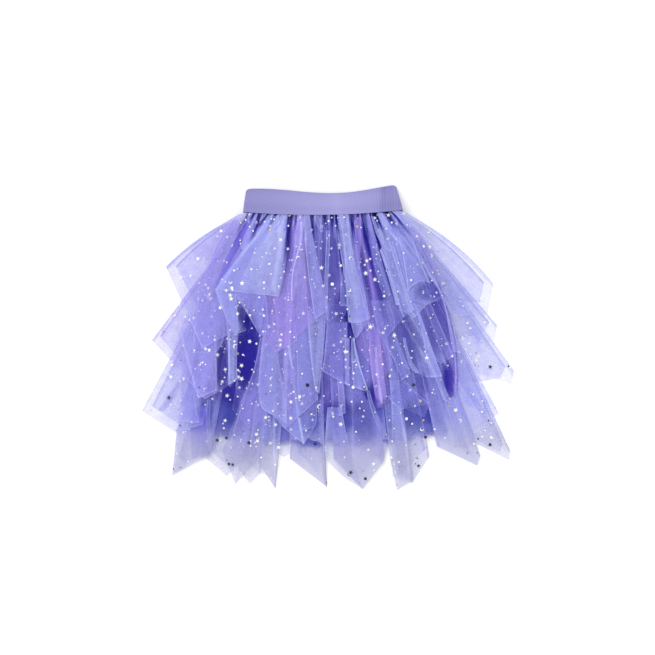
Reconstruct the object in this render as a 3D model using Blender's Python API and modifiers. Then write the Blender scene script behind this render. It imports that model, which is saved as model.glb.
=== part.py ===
"""A girl's layered tulle skirt, laid flat with its front up.

The waist seam runs along +X, the hem points to -Y and the layers lie on each other in +Z.
Every layer of cloth is one thin sheet that is gathered into the waist seam.
"""

import math
from collections import namedtuple

import bpy
import numpy as np

MM = 0.001

# Waist seam, in millimetres: its gathers are counted in halves, a low one and a high one
GATHERS = 27
GATHER = 7.1
STITCH = GATHER / 2
STITCHES = 2 * GATHERS
HALF_SEAM = STITCH * STITCHES / 2
SEAM_DIP = 5.0
SEAM_TILT = 1.3
SEAM_DROP = 1.5

# Elastic band
BAND_HEIGHT = 30.0
BAND_WALL = 1.5
BAND_HALF_LOW = 103.5
BAND_HALF_TOP = 97.5
BAND_TOP_SHIFT = -2.5
BAND_SQUARE = 16
BAND_HALF_EMPTY = 1.2
BAND_SPLIT = 0.5
BAND_FLARE = 1.2
BAND_FULL = 0.27
BAND_COLUMNS = 24
BAND_ROWS = 6

# Cloth: its wall, its clearance, and how it is stacked in the waist seam under the band
WALL = 1.0
CLEAR = 0.4
SEAM_FLOOR = 2.6
SEAM_PITCH = 1.5
SEAM_ROOM = 0.9
TUCK = 1.5
SEAM_ALLOWANCE = 5.0
SLIT = 0.6
YIELD = 0.2

# The stretch under the band where the gathers stand up, then let go
STAND = 8.0
SPREAD = 20.0
APART = 48.0
STAND_WAVE = 1.5
STIFF = 0.3
FOLD_WIDTH = 40
FOLD_TURN = 1.7
WAIST_HOLD = 6
HEM_HOLD = 3
POINT_COLUMNS = (4, 8)
LONG_POINT = 200
PANEL_COLUMNS = 18

# The pile of cloth is measured on square cells, and each sheet sinks until it rests on it
CELL = 1.0
EDGE_REACH = 0.7
BRIDGE = 8
SINK_ROUNDS = 80
SINK_STEP = 0.4
LEAST_GRIP = 0.15
SEWN_SHARE = 0.6
TOUCH = 0.02
BARE = 0.01
PILE_X = (-275.0, 275.0)
PILE_Y = (-385.0, 60.0)

Point = namedtuple(
    "Point",
    "first last left_x left_y tip_x tip_y right_x right_y bow_left bow_right",
    defaults=(0, 0),
)
Panel = namedtuple("Panel", "name left_x left_y middle_y right_x right_y folds swell colour")
Tier = namedtuple("Tier", "name points swell colour")

# One row is one point of the cut hem. It hangs between two gathers of the waist, and its left
# corner, tip and right corner are measured from the middle of the waist.
FRONT_TIERS = (
    Tier("tulle_tier_4_front", (
        Point(0, 4, -190, -283, -196, -339, -146, -311),
        Point(4, 8, -152, -316, -125, -340, -100, -314),
        Point(8, 12, -110, -330, -95, -350, -81, -335),
        Point(12, 17, -131, -306, -114, -350, -81, -314, -12, 0),
        Point(17, 20, -84, -322, -62, -356, -62, -356),
        Point(20, 27, -43, -317, 5, -354, 5, -354, 0, -3),
        Point(27, 36, 14, -317, 51, -357, 79, -320, 0, 4),
        Point(36, 41, 38, -293, 78, -322, 84, -300),
        Point(41, 46, 88, -322, 96, -358, 117, -345),
        Point(46, 49, 98, -335, 116, -349, 138, -314),
        Point(49, 52, 148, -301, 200, -326, 204, -313),
        Point(52, 54, 192, -294, 242, -319, 243, -306),
    ), 1.6, (0.62, 0.64, 0.90)),
    Tier("tulle_tier_3_front", (
        Point(0, 4, -235, -255, -191, -283, -155, -272),
        Point(4, 9, -184, -246, -176, -257, -125, -224),
        Point(9, 16, -118, -252, -95, -278, -66, -254),
        Point(16, 24, -53, -275, -25, -298, -12, -278),
        Point(24, 31, -6, -254, 8, -278, 29, -257),
        Point(31, 38, 35, -231, 56, -257, 74, -239),
        Point(38, 47, 99, -249, 131, -263, 138, -245),
        Point(47, 51, 191, -249, 221, -263, 228, -258),
        Point(51, 54, 202, -206, 244, -220, 248, -203),
    ), 1.6, (0.55, 0.57, 0.88)),
    Tier("tulle_tier_2_front", (
        Point(0, 5, -222, -163, -152, -239, -108, -213),
        Point(5, 9, -134, -205, -120, -224, -105, -207),
        Point(9, 14, -113, -223, -92, -244, -78, -220),
        Point(14, 20, -83, -239, -49, -278, -6, -239, 0, -4),
        Point(20, 25, -38, -176, -5, -206, 1, -180),
        Point(25, 32, -1, -203, 33, -223, 33, -223),
        Point(32, 40, 43, -170, 77, -218, 90, -192),
        Point(40, 47, 103, -197, 134, -211, 153, -211, 0, 4),
        Point(47, 51, 136, -179, 152, -194, 170, -184),
        Point(51, 54, 202, -167, 222, -164, 226, -144),
    ), 2.0, (0.50, 0.53, 0.90)),
    Tier("tulle_tier_1_front", (
        Point(0, 4, -204, -68, -155, -174, -98, -142, 7, 0),
        Point(4, 9, -139, -99, -112, -155, -79, -145),
        Point(9, 15, -139, -98, -56, -107, -56, -107, 0, 3),
        Point(15, 22, -113, -107, -61, -180, 6, -125, 8, -3),
        Point(22, 31, -14, -135, 6, -142, 30, -122),
        Point(31, 37, 38, -144, 43, -161, 60, -135),
        Point(37, 44, 56, -161, 77, -168, 104, -133, 0, 2),
        Point(44, 48, 100, -123, 117, -135, 142, -109, 0, 2),
        Point(48, 50, 104, -96, 124, -90, 138, -93, 0, 6),
        Point(50, 52, 113, -111, 135, -118, 156, -107, 0, 2),
        Point(52, 54, 168, -132, 213, -128, 221, -90, 0, 10),
    ), 2.5, (0.58, 0.60, 0.94)),
)
BACK_TIERS = (
    Tier("tulle_tier_1_back", (
        Point(0, 9, -191, -67, -160, -127, -121, -98, 6, 0),
        Point(9, 18, -124, -93, -90, -137, -53, -98),
        Point(18, 27, -56, -93, -25, -142, 6, -96),
        Point(27, 36, 4, -93, 35, -142, 69, -96),
        Point(36, 45, 66, -90, 103, -137, 136, -98),
        Point(45, 54, 152, -111, 204, -114, 209, -88, 0, 7),
    ), 0.0, (0.58, 0.60, 0.94)),
    Tier("tulle_tier_2_back", (
        Point(0, 8, -212, -158, -165, -213, -131, -176),
        Point(8, 17, -131, -171, -95, -215, -61, -176),
        Point(17, 26, -61, -171, -25, -218, 6, -174),
        Point(26, 35, 4, -171, 35, -220, 66, -176),
        Point(35, 45, 66, -171, 103, -213, 136, -174),
        Point(45, 54, 152, -168, 209, -153, 216, -140),
    ), 0.8, (0.50, 0.53, 0.90)),
    Tier("tulle_tier_3_back", (
        Point(0, 7, -222, -249, -188, -272, -160, -252),
        Point(7, 15, -165, -244, -131, -283, -95, -254),
        Point(15, 23, -95, -246, -61, -288, -30, -252),
        Point(23, 32, -30, -249, 4, -285, 35, -252),
        Point(32, 40, 35, -246, 66, -283, 98, -249),
        Point(40, 48, 95, -241, 126, -272, 160, -239),
        Point(48, 54, 181, -220, 230, -213, 237, -197),
    ), 0.8, (0.55, 0.57, 0.88)),
    Tier("tulle_tier_4_back", (
        Point(0, 8, -187, -314, -180, -324, -140, -305),
        Point(8, 15, -148, -304, -121, -330, -87, -314),
        Point(15, 21, -77, -301, -51, -315, -30, -302),
        Point(21, 28, -32, -309, -6, -337, -1, -309),
        Point(28, 38, 20, -309, 46, -343, 72, -313),
        Point(38, 46, 90, -309, 98, -340, 133, -305),
        Point(46, 51, 135, -285, 176, -304, 196, -301),
        Point(51, 54, 196, -291, 230, -309, 234, -298),
    ), 1.2, (0.62, 0.64, 0.90)),
)
# The plain inner skirts reach from side to side: hem corners, and the hem's lowest place
PANELS = (
    Panel("underskirt_back", -168, -268, -282, 154, -272, 7, 1.2, (0.30, 0.34, 0.85)),
    Panel("lining_back", -170, -228, -250, 166, -226, 6, 1.2, (0.25, 0.19, 0.62)),
    Panel("lining_front", -178, -237, -258, 175, -235, 7, 1.2, (0.25, 0.19, 0.62)),
    Panel("underskirt_front", -175, -274, -290, 160, -280, 8, 1.4, (0.30, 0.34, 0.85)),
)


def seam_y(x):
    """Return the waist seam's height on the table: a shallow bow with a slight tilt."""
    across = x / HALF_SEAM
    return SEAM_DIP * across ** 2 + SEAM_TILT * across - SEAM_DROP


def column_x(number):
    """Return the place along the waist of a half gather, counted from the left."""
    return (number - STITCHES / 2) * STITCH


def gather_wave(x):
    """Return the gathers just under the band: even half gathers lie low, odd ones stand up."""
    return STAND_WAVE * (0.5 - 0.5 * np.cos(2 * math.pi * (x + HALF_SEAM) / GATHER))


def smooth(value):
    """Return a soft step from 0 to 1."""
    value = np.clip(value, 0, 1)
    return value * value * (3 - 2 * value)


class Pile:
    """The height of all the cloth laid so far, kept at the middle of each cell of a grid."""

    def __init__(self):
        self.wide = int((PILE_X[1] - PILE_X[0]) / CELL)
        self.long = int((PILE_Y[1] - PILE_Y[0]) / CELL)
        self.top = np.zeros((self.wide, self.long))

    def mean(self, x, y, reach):
        """Return the mean height of a square of cells around each place."""
        total = np.pad(self.top, ((reach + 1, reach), (reach + 1, reach)), mode="edge")
        total = total.cumsum(axis=0).cumsum(axis=1)
        side = 2 * reach + 1
        blur = total[side:, side:] - total[:-side, side:]
        blur += total[:-side, :-side] - total[side:, :-side]
        across = ((x - PILE_X[0]) / CELL).astype(int)
        along = ((y - PILE_Y[0]) / CELL).astype(int)
        return blur[across, along] / side ** 2

    def lay(self, places, corners):
        """Raise the pile to the upper face of a sheet that has been put down."""
        triangle, across, along, weights = cells_under(places, corners, EDGE_REACH)
        height = (places[corners[triangle], 2] * weights).sum(axis=1)
        np.maximum.at(self.top, (across, along), height)


def cells_under(places, corners, reach):
    """Return each cell whose middle lies in a triangle of the sheet, and its corner weights."""
    found = []
    for number, corner in enumerate(corners):
        (ax, ay), (bx, by), (cx, cy) = places[corner, :2]
        area = (bx - ax) * (cy - ay) - (cx - ax) * (by - ay)
        if area <= 0:
            continue
        low_x = int((min(ax, bx, cx) - reach - PILE_X[0]) / CELL)
        top_x = int((max(ax, bx, cx) + reach - PILE_X[0]) / CELL) + 1
        low_y = int((min(ay, by, cy) - reach - PILE_Y[0]) / CELL)
        top_y = int((max(ay, by, cy) + reach - PILE_Y[0]) / CELL) + 1
        across, along = np.mgrid[low_x:top_x, low_y:top_y].reshape(2, -1)
        x = PILE_X[0] + (across + 0.5) * CELL
        y = PILE_Y[0] + (along + 0.5) * CELL
        second = ((x - ax) * (cy - ay) - (cx - ax) * (y - ay)) / area
        third = ((bx - ax) * (y - ay) - (x - ax) * (by - ay)) / area
        weights = np.column_stack([1 - second - third, second, third])
        across_edges = np.array([(cx - bx, cy - by), (ax - cx, ay - cy), (bx - ax, by - ay)])
        inside = (weights * area >= -reach * np.hypot(*across_edges.T)).all(axis=1)
        weights = np.clip(weights[inside], 0, 1)
        weights /= weights.sum(axis=1)[:, None]
        found.append((np.full(inside.sum(), number), across[inside], along[inside], weights))
    return [np.concatenate(column) for column in zip(*found)]


def side_line(point, right, share):
    """Return one side edge of a point: straight from waist to corner, bowed outwards."""
    number = point.last if right else point.first
    root = np.array([column_x(number), seam_y(column_x(number)) + TUCK])
    corner = np.array([point.right_x, point.right_y] if right else [point.left_x, point.left_y])
    along = corner - root
    outward = np.array([-along[1], along[0]]) / np.hypot(*along)
    bow = point.bow_right if right else -point.bow_left
    share = np.asarray(share, dtype=float)[:, None]
    return root + along * share + outward * bow * 4 * share * (1 - share)


def side_x(point, right, y):
    """Return where a side edge crosses the height y."""
    line = side_line(point, right, np.linspace(0, 1, 41))
    return np.interp(-y, -line[:, 1], line[:, 0])


def row_shares(point, right, rest):
    """Return the rows down one side: two near the waist, then even ones to the corner."""
    number = point.last if right else point.first
    root_y = seam_y(column_x(number)) + TUCK
    drop = root_y - (point.right_y if right else point.left_y)
    near = [0.0, (TUCK + STAND) / drop, (TUCK + SPREAD) / drop]
    even = np.linspace(near[-1], 1.0, rest + 1)[1:]
    return np.concatenate([near, even])


def hem_line(point, columns):
    """Return the cut hem of a point: left corner, tip and, unless it is the tip, right corner."""
    left = np.array([point.left_x, point.left_y], dtype=float)
    tip = np.array([point.tip_x, point.tip_y], dtype=float)
    right = np.array([point.right_x, point.right_y], dtype=float)
    ratio = np.hypot(*(tip - left)) / (np.hypot(*(tip - left)) + np.hypot(*(right - tip)))
    last_turn = columns if ratio == 1 else columns - 1
    turn = int(np.clip(round(columns * ratio), 1, last_turn))
    first = left + (tip - left) * np.linspace(0, 1, turn + 1)[:, None]
    second = tip + (right - tip) * np.linspace(0, 1, columns - turn + 1)[1:, None]
    return np.concatenate([first, second])


def loft(left, right, hem, columns):
    """Return the rows of a sheet that is led by its two sides, its waist and its hem."""
    across = np.linspace(0, 1, columns + 1)[None, :, None]
    down = np.linspace(0, 1, len(left))[:, None, None]
    waist_x = left[0, 0] + (right[0, 0] - left[0, 0]) * across[0, :, 0]
    waist = np.column_stack([waist_x, seam_y(waist_x) + TUCK])
    chord_top = left[0] + (right[0] - left[0]) * across[0]
    chord_low = left[-1] + (right[-1] - left[-1]) * across[0]
    body = left[:, None] * (1 - across) + right[:, None] * across
    body = body + (waist - chord_top)[None] * (1 - down) ** WAIST_HOLD
    return body + (hem - chord_low)[None] * down ** HEM_HOLD


def shared_edge(own, other, y, inward, keep):
    """Move a side edge off the neighbour's edge near the waist, where both lie in one layer."""
    hold = 1 - smooth((seam_y(own) - y - SPREAD) / (APART - SPREAD))
    edge = own * keep + other * (1 - keep) + inward * SLIT
    crossing = (other - own) * inward > -2 * SLIT
    moved = np.where(crossing, own + (edge - own) * hold, own)
    moved[0] = own[0]
    return moved


def part_neighbours(rows, before, after, keep):
    """Keep a slit between neighbours near the waist, where they can't yet lie on each other."""
    left = rows[:, 0, 0].copy()
    right = rows[:, -1, 0].copy()
    span = (rows[:, :, 0] - left[:, None]) / (right - left)[:, None]
    if before is not None:
        left = shared_edge(left, side_x(before, True, rows[:, 0, 1]), rows[:, 0, 1], 1, keep)
    if after is not None:
        right = shared_edge(right, side_x(after, False, rows[:, -1, 1]), rows[:, -1, 1], -1, keep)
    rows[:, :, 0] = left[:, None] + (right - left)[:, None] * span
    return rows


def grid_faces(rows, columns):
    """Return two triangles for each cell of a grid of points."""
    faces = []
    for row in range(rows - 1):
        for column in range(columns):
            upper = row * (columns + 1) + column
            lower = upper + columns + 1
            faces.append((upper, lower, lower + 1))
            faces.append((upper, lower + 1, upper + 1))
    return np.array(faces)


def settle(places, corners, loose, cells, floor):
    """Lift the loose corners until every cell of the sheet clears the floor under it."""
    triangle, weights = cells
    owner = corners[triangle]
    pull = weights * loose[owner]
    grip = np.maximum((pull * weights).sum(axis=1), LEAST_GRIP)
    for _ in range(SINK_ROUNDS):
        short = floor - (places[owner, 2] * weights).sum(axis=1)
        if short.max() < TOUCH:
            break
        push = SINK_STEP * np.clip(short, 0, None)[:, None] * pull / grip[:, None]
        lift = np.zeros(len(places))
        np.maximum.at(lift, owner, push)
        places[:, 2] += lift
    return places


def upper_face(places, corners):
    """Return the points of the sheet's upper face, one wall away along the normals."""
    edge_one = places[corners[:, 1]] - places[corners[:, 0]]
    edge_two = places[corners[:, 2]] - places[corners[:, 0]]
    face_normal = np.cross(edge_one, edge_two)
    normal = np.zeros_like(places)
    for corner in range(3):
        np.add.at(normal, corners[:, corner], face_normal)
    normal /= np.linalg.norm(normal, axis=1)[:, None]
    return places + normal * WALL


def drape(rows, seam_z, swell, folds, phase, pile, own):
    """Give a sheet its heights: gathered at the waist, folded to the hem, clear of the pile."""
    count, wide = rows.shape[:2]
    x = rows[..., 0]
    y = rows[..., 1]
    across = np.linspace(0, 1, wide)[None]
    down = np.linspace(0, 1, count)[:, None]
    ripple = swell * (0.5 - 0.5 * np.cos(2 * math.pi * folds * across + phase))
    ripple = ripple * (1 + down) / 2
    height = pile.mean(x, y, BRIDGE) + CLEAR + ripple if swell else np.zeros_like(x)
    gathered = seam_z + gather_wave(x)
    height[1] = np.maximum(height[1], gathered[1])
    height[0] = seam_z
    places = np.dstack([x, y, height]).reshape(-1, 3)
    corners = grid_faces(count, wide - 1)
    loose = np.ones(len(places))
    loose[:wide] = 0.0
    loose[wide:2 * wide] = STIFF
    triangle, across, along, weights = cells_under(places, corners, 0.0)
    spots = (places[corners[triangle]] * weights[..., None]).sum(axis=1)
    depth = seam_y(spots[:, 0]) - spots[:, 1]
    under = np.where(depth < SPREAD, pile.top[across, along], own.top[across, along])
    sewn = (weights * (loose == 0)[corners[triangle]]).sum(axis=1)
    floor = np.where((under > BARE) & (sewn < SEWN_SHARE), under + CLEAR, 0.0)
    return settle(places, corners, loose, (triangle, weights), floor), corners


def add_sheet(name, places, faces, colour, wall=WALL):
    """Make an open sheet, give it its wall and its colour, and put it in the collection."""
    mesh = bpy.data.meshes.new(name)
    mesh.from_pydata((np.asarray(places) * MM).tolist(), [], faces)
    mesh.validate()
    mesh.shade_smooth()
    piece = bpy.data.objects.new(name, mesh)
    SKIRT.objects.link(piece)
    shell = piece.modifiers.new("wall", "SOLIDIFY")
    shell.thickness = wall * MM
    shell.offset = 1.0
    material = bpy.data.materials.new(name)
    material.use_nodes = True
    skin = material.node_tree.nodes["Principled BSDF"]
    skin.inputs["Base Color"].default_value = (*colour, 1)
    skin.inputs["Roughness"].default_value = 0.6
    skin.inputs["Metallic"].default_value = 0.0
    mesh.materials.append(material)
    return piece


def make_tier(tier, seam_z, pile):
    """Make one tier: a strip in the waist seam, with its row of points hanging from it."""
    places = []
    faces = []
    strip = {}
    own = Pile()
    own.top = pile.top.copy()

    def stitch(number):
        """Return the strip's upper and lower vertex at a half gather, made when first used."""
        if number not in strip:
            x = column_x(number)
            strip[number] = len(places)
            places.append((x, seam_y(x) + TUCK + SEAM_ALLOWANCE, seam_z))
            places.append((x, seam_y(x) + TUCK, seam_z))
        return strip[number], strip[number] + 1

    count = len(tier.points)
    for number in [*range(1, count, 2), *range(0, count, 2)]:
        point = tier.points[number]
        before = tier.points[number - 1] if number else None
        after = tier.points[number + 1] if number + 1 < count else None
        columns = int(np.clip(point.last - point.first, *POINT_COLUMNS))
        rest = 3 if min(point.left_y, point.tip_y, point.right_y) > -LONG_POINT else 4
        left = side_line(point, False, row_shares(point, False, rest))
        right = side_line(point, True, row_shares(point, True, rest))
        rows = loft(left, right, hem_line(point, columns), columns)
        rows = part_neighbours(rows, before, after, YIELD if number % 2 else 1 - YIELD)
        folds = max(1, round((point.right_x - point.left_x) / FOLD_WIDTH))
        body, corners = drape(rows, seam_z, tier.swell, folds, FOLD_TURN * number, pile, own)
        own.lay(upper_face(body, corners), corners)
        top_left, low_left = stitch(point.first)
        top_right, low_right = stitch(point.last)
        index = np.full(len(body), low_left)
        index[columns] = low_right
        inner = np.r_[1:columns, columns + 1:len(body)]
        index[inner] = len(places) + np.arange(len(inner))
        places.extend(body[inner].tolist())
        faces.extend(index[corners].tolist())
        faces.append([top_left, *index[:columns + 1].tolist(), top_right])
        if after is not None and after.first > point.last:
            next_top, next_low = stitch(after.first)
            faces.append([top_right, low_right, next_low, next_top])
    pile.top = own.top
    return add_sheet(tier.name, places, faces, tier.colour)


def make_panel(panel, seam_z, pile):
    """Make one half of a plain inner skirt: a wide sheet with a few soft folds."""
    columns = PANEL_COLUMNS
    point = Point(0, STITCHES, panel.left_x, panel.left_y, 0, 0, panel.right_x, panel.right_y)
    left = side_line(point, False, row_shares(point, False, 3))
    right = side_line(point, True, row_shares(point, True, 3))
    hem_x = np.linspace(panel.left_x, panel.right_x, columns + 1)
    share = np.linspace(0, 1, columns + 1)
    side_y = panel.left_y + (panel.right_y - panel.left_y) * share
    lowest = (panel.left_y + panel.right_y) / 2 - panel.middle_y
    hem = np.column_stack([hem_x, side_y - lowest * 4 * share * (1 - share)])
    rows = loft(left, right, hem, columns)
    body, corners = drape(rows, seam_z, panel.swell, panel.folds, 0, pile, pile)
    pile.lay(upper_face(body, corners), corners)
    x = rows[0, :, 0]
    upper = np.column_stack([x, seam_y(x) + TUCK + SEAM_ALLOWANCE, np.full(len(x), seam_z)])
    ends = np.array([len(body), len(body) + 1])
    places = np.concatenate([body, upper[[0, -1]]])
    faces = corners.tolist()
    faces.append([int(ends[0]), *range(columns + 1), int(ends[1])])
    return add_sheet(panel.name, places, faces, panel.colour)


def make_band(name, upper, stack):
    """Make half of the elastic band: a flattened tube, thick where the layers are sewn in."""
    share = np.sin(np.linspace(-math.pi / 2, math.pi / 2, BAND_COLUMNS + 1))
    climb = np.linspace(0, 1, BAND_ROWS)
    half_low = stack / 2
    taper = smooth((climb - BAND_FULL) / (1 - BAND_FULL))
    thick = half_low + (BAND_HALF_EMPTY - half_low) * taper
    thick[0] += BAND_FLARE
    half_wide = BAND_HALF_LOW + (BAND_HALF_TOP - BAND_HALF_LOW) * climb - BAND_WALL
    flat = (1 - np.abs(share) ** BAND_SQUARE) ** (1 / BAND_SQUARE)
    x = BAND_TOP_SHIFT * climb[:, None] + half_wide[:, None] * share[None]
    y = seam_y(x * HALF_SEAM / BAND_HALF_LOW) + BAND_HEIGHT * climb[:, None]
    rise = np.maximum(thick[:, None] * flat[None], BAND_SPLIT / 2)
    z = BAND_WALL + thick[:, None] + (rise if upper else -rise)
    places = np.dstack([x, y, z])[::-1].reshape(-1, 3)
    faces = grid_faces(BAND_ROWS, BAND_COLUMNS)
    if not upper:
        faces = faces[:, ::-1]
    band = add_sheet(name, places, faces.tolist(), (0.42, 0.38, 0.72), BAND_WALL)
    return band, places, faces


def centre_on_table(pieces):
    """Move every sheet so that the skirt's outline is centred on the origin."""
    corners = np.array([vertex.co for piece in pieces for vertex in piece.data.vertices])
    middle = (corners.min(axis=0) + corners.max(axis=0)) / 2
    for piece in pieces:
        for vertex in piece.data.vertices:
            vertex.co.x -= middle[0]
            vertex.co.y -= middle[1]


def make_skirt():
    """Lay the skirt down from the table up: back of the band, back layers, front layers."""
    pile = Pile()
    layers = [*BACK_TIERS, *PANELS, *FRONT_TIERS]
    stack = SEAM_FLOOR + SEAM_PITCH * len(layers) - BAND_WALL + SEAM_ROOM
    pieces = []
    band, places, faces = make_band("waistband_back", False, stack)
    pieces.append(band)
    inside = places.copy()
    inside[:, 2] += CLEAR
    flat = np.abs(inside[:, 0]) < BAND_HALF_TOP
    keep = flat[faces].all(axis=1)
    pile.lay(inside, faces[keep][:, ::-1])
    for number, layer in enumerate(layers):
        seam_z = SEAM_FLOOR + SEAM_PITCH * number
        maker = make_tier if isinstance(layer, Tier) else make_panel
        pieces.append(maker(layer, seam_z, pile))
    band, places, faces = make_band("waistband_front", True, stack)
    pieces.append(band)
    centre_on_table(pieces)


for old in list(bpy.data.objects):
    bpy.data.objects.remove(old, do_unlink=True)
SKIRT = bpy.data.collections.new("ruffle_skirt")
bpy.context.scene.collection.children.link(SKIRT)
make_skirt()
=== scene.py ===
# %% [markdown]
# # A girl's layered tulle skirt, laid flat
# The real skirt is a wide elastic waistband with four tiers of printed tulle gathered into it. Each
# tier ends in long points. A plain blue net and a satin lining hang inside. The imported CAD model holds
# every layer as a simple closed sheet, and this script dresses it: each layer becomes a fine, sheer
# surface that lies exactly where its CAD sheet lies. All sizes below are in millimetres.

# %% Load the frame
import math
from collections import namedtuple

import bpy
import numpy as np
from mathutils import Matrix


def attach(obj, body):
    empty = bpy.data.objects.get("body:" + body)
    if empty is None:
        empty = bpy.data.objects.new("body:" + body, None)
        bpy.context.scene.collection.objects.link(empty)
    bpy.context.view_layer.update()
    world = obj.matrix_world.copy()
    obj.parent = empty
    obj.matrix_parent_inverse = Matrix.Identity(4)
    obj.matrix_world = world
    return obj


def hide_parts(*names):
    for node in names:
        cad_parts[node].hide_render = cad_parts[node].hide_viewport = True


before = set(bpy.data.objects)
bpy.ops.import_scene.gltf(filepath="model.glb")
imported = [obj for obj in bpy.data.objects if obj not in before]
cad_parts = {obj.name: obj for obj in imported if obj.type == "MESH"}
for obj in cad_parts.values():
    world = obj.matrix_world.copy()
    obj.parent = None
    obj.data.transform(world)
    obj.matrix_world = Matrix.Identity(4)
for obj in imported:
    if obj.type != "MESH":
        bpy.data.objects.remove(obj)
bpy.context.view_layer.update()
MM = 0.001
ORIGIN = np.array([-6.6, 162.1])

# %% [markdown]
# ## The waist seam
# The skirt is measured from the middle of its waist seam. The seam is a shallow bow, and 27 gathers
# on each side of the skirt take in the fullness of the cloth. Half gathers are counted from the left.

# %% Seam and soft steps
GATHER = 7.1
STITCH = GATHER / 2
STITCHES = 54
HALF_SEAM = STITCH * STITCHES / 2
TUCK = 1.5


def seam_y(x):
    """Height of the seam on the table: 5 across squared, plus 1.3 across, less 1.5."""
    across = x / HALF_SEAM
    return 5.0 * across ** 2 + 1.3 * across - 1.5


def column_x(number):
    """Place along the waist of a half gather, counted from the left."""
    return (number - STITCHES / 2) * STITCH


def smooth(value):
    """A soft step: 3 v squared less 2 v cubed, with v held between 0 and 1."""
    value = np.clip(value, 0, 1)
    return value * value * (3 - 2 * value)


def zone(value, start, end):
    """A soft step from 0 at the start to 1 at the end. The start may be the larger of the two."""
    return smooth((value - start) / (end - start))


def ridge(distance, width):
    """A soft crease across a distance: 1 on its line, and e to the -1 at its width."""
    return np.exp(-(distance / width) ** 2)


def named(kind, rows):
    """Give each row of a table the names of its columns."""
    return [kind(*row) for row in rows]


# %% [markdown]
# ## The points of each tier
# Each row is one point of the cut hem, and hangs between two half gathers. Its left corner, tip and
# right corner are read off the photo. The next five columns are its look: how pale and how violet it
# is, how dense, and how far its left and right edges are turned under. The last two bow its sides
# outwards.

# %% Tables of points
Point = namedtuple(
    "Point",
    "first last left_x left_y tip_x tip_y right_x right_y pale violet dense turn_left turn_right"
    " bow_left bow_right",
    defaults=(0, 0),
)
EVEN = (.5, .3, 1.0, 4, 4)


def points(rows, look=()):
    """Named rows of one tier. A look that all of them share goes in after the corners."""
    return [Point(*row[:8], *look, *row[8:]) for row in rows]


TIER_4_FRONT = points((
    (0, 4, -190, -283, -196, -339, -146, -311, .5, .3, 1.3, 3, 7),
    (4, 8, -152, -316, -125, -340, -100, -314, .4, .2, 0.7, 4, 4),
    (8, 12, -110, -330, -95, -350, -81, -335, .5, .3, 0.8, 3, 3),
    (12, 17, -131, -306, -114, -350, -81, -314, .6, .5, 0.8, 4, 8, -12, 0),
    (17, 20, -84, -322, -62, -356, -62, -356, .5, .2, 1.1, 3, 5),
    (20, 27, -43, -317, 5, -354, 5, -354, .5, .2, 1.35, 5, 7, 0, -3),
    (27, 36, 14, -317, 51, -357, 79, -320, .4, .3, 1.8, 6, 6, 0, 4),
    (36, 41, 38, -293, 78, -322, 84, -300, .4, .2, 1.8, 3, 3),
    (41, 46, 88, -322, 96, -358, 117, -345, .5, .1, 1.1, 9, 4),
    (46, 49, 98, -335, 116, -349, 138, -314, .5, .2, 0.9, 3, 5),
    (49, 52, 148, -301, 200, -326, 204, -313, .5, .2, 1.65, 4, 5),
    (52, 54, 192, -294, 242, -319, 243, -306, .6, .2, 1.3, 3, 8),
))
TIER_3_FRONT = points((
    (0, 4, -235, -255, -191, -283, -155, -272, .7, .4, 0.9, 3, 4),
    (4, 9, -184, -246, -176, -257, -125, -224, .5, .4, 1.1, 7, 3),
    (9, 16, -118, -252, -95, -278, -66, -254, .4, .5, 1.0, 3, 4),
    (16, 24, -53, -275, -25, -298, -12, -278, .5, .1, 1.3, 5, 5),
    (24, 31, -6, -254, 8, -278, 29, -257, .3, .6, 1.0, 3, 4),
    (31, 38, 35, -231, 56, -257, 74, -239, .3, .5, 1.0, 4, 3),
    (38, 47, 99, -249, 131, -263, 138, -245, .4, .3, 1.1, 5, 5),
    (47, 51, 191, -249, 221, -263, 228, -258, .6, .1, 0.75, 3, 8),
    (51, 54, 202, -206, 244, -220, 248, -203, .7, .1, 1.0, 3, 7),
))
TIER_2_FRONT = points((
    (0, 5, -222, -163, -152, -239, -108, -213, .6, .6, 0.95, 5, 4),
    (5, 9, -134, -205, -120, -224, -105, -207, .5, .3, 1.2, 3, 9),
    (9, 14, -113, -223, -92, -244, -78, -220, .4, .4, 1.1, 3, 3),
    (14, 20, -83, -239, -49, -278, -6, -239, .6, .4, 1.2, 4, 5, 0, -4),
    (20, 25, -38, -176, -5, -206, 1, -180, .5, .3, 1.1, 4, 3),
    (25, 32, -1, -203, 33, -223, 33, -223, .3, .3, 1.0, 3, 4),
    (32, 40, 43, -170, 77, -218, 90, -192, .3, .8, 1.0, 4, 4),
    (40, 47, 103, -197, 134, -211, 153, -211, .6, .0, 1.3, 4, 7, 0, 4),
    (47, 51, 136, -179, 152, -194, 170, -184, .4, .4, 1.0, 3, 4),
    (51, 54, 202, -167, 222, -164, 226, -144, .6, .0, 1.1, 3, 6),
))
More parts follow.
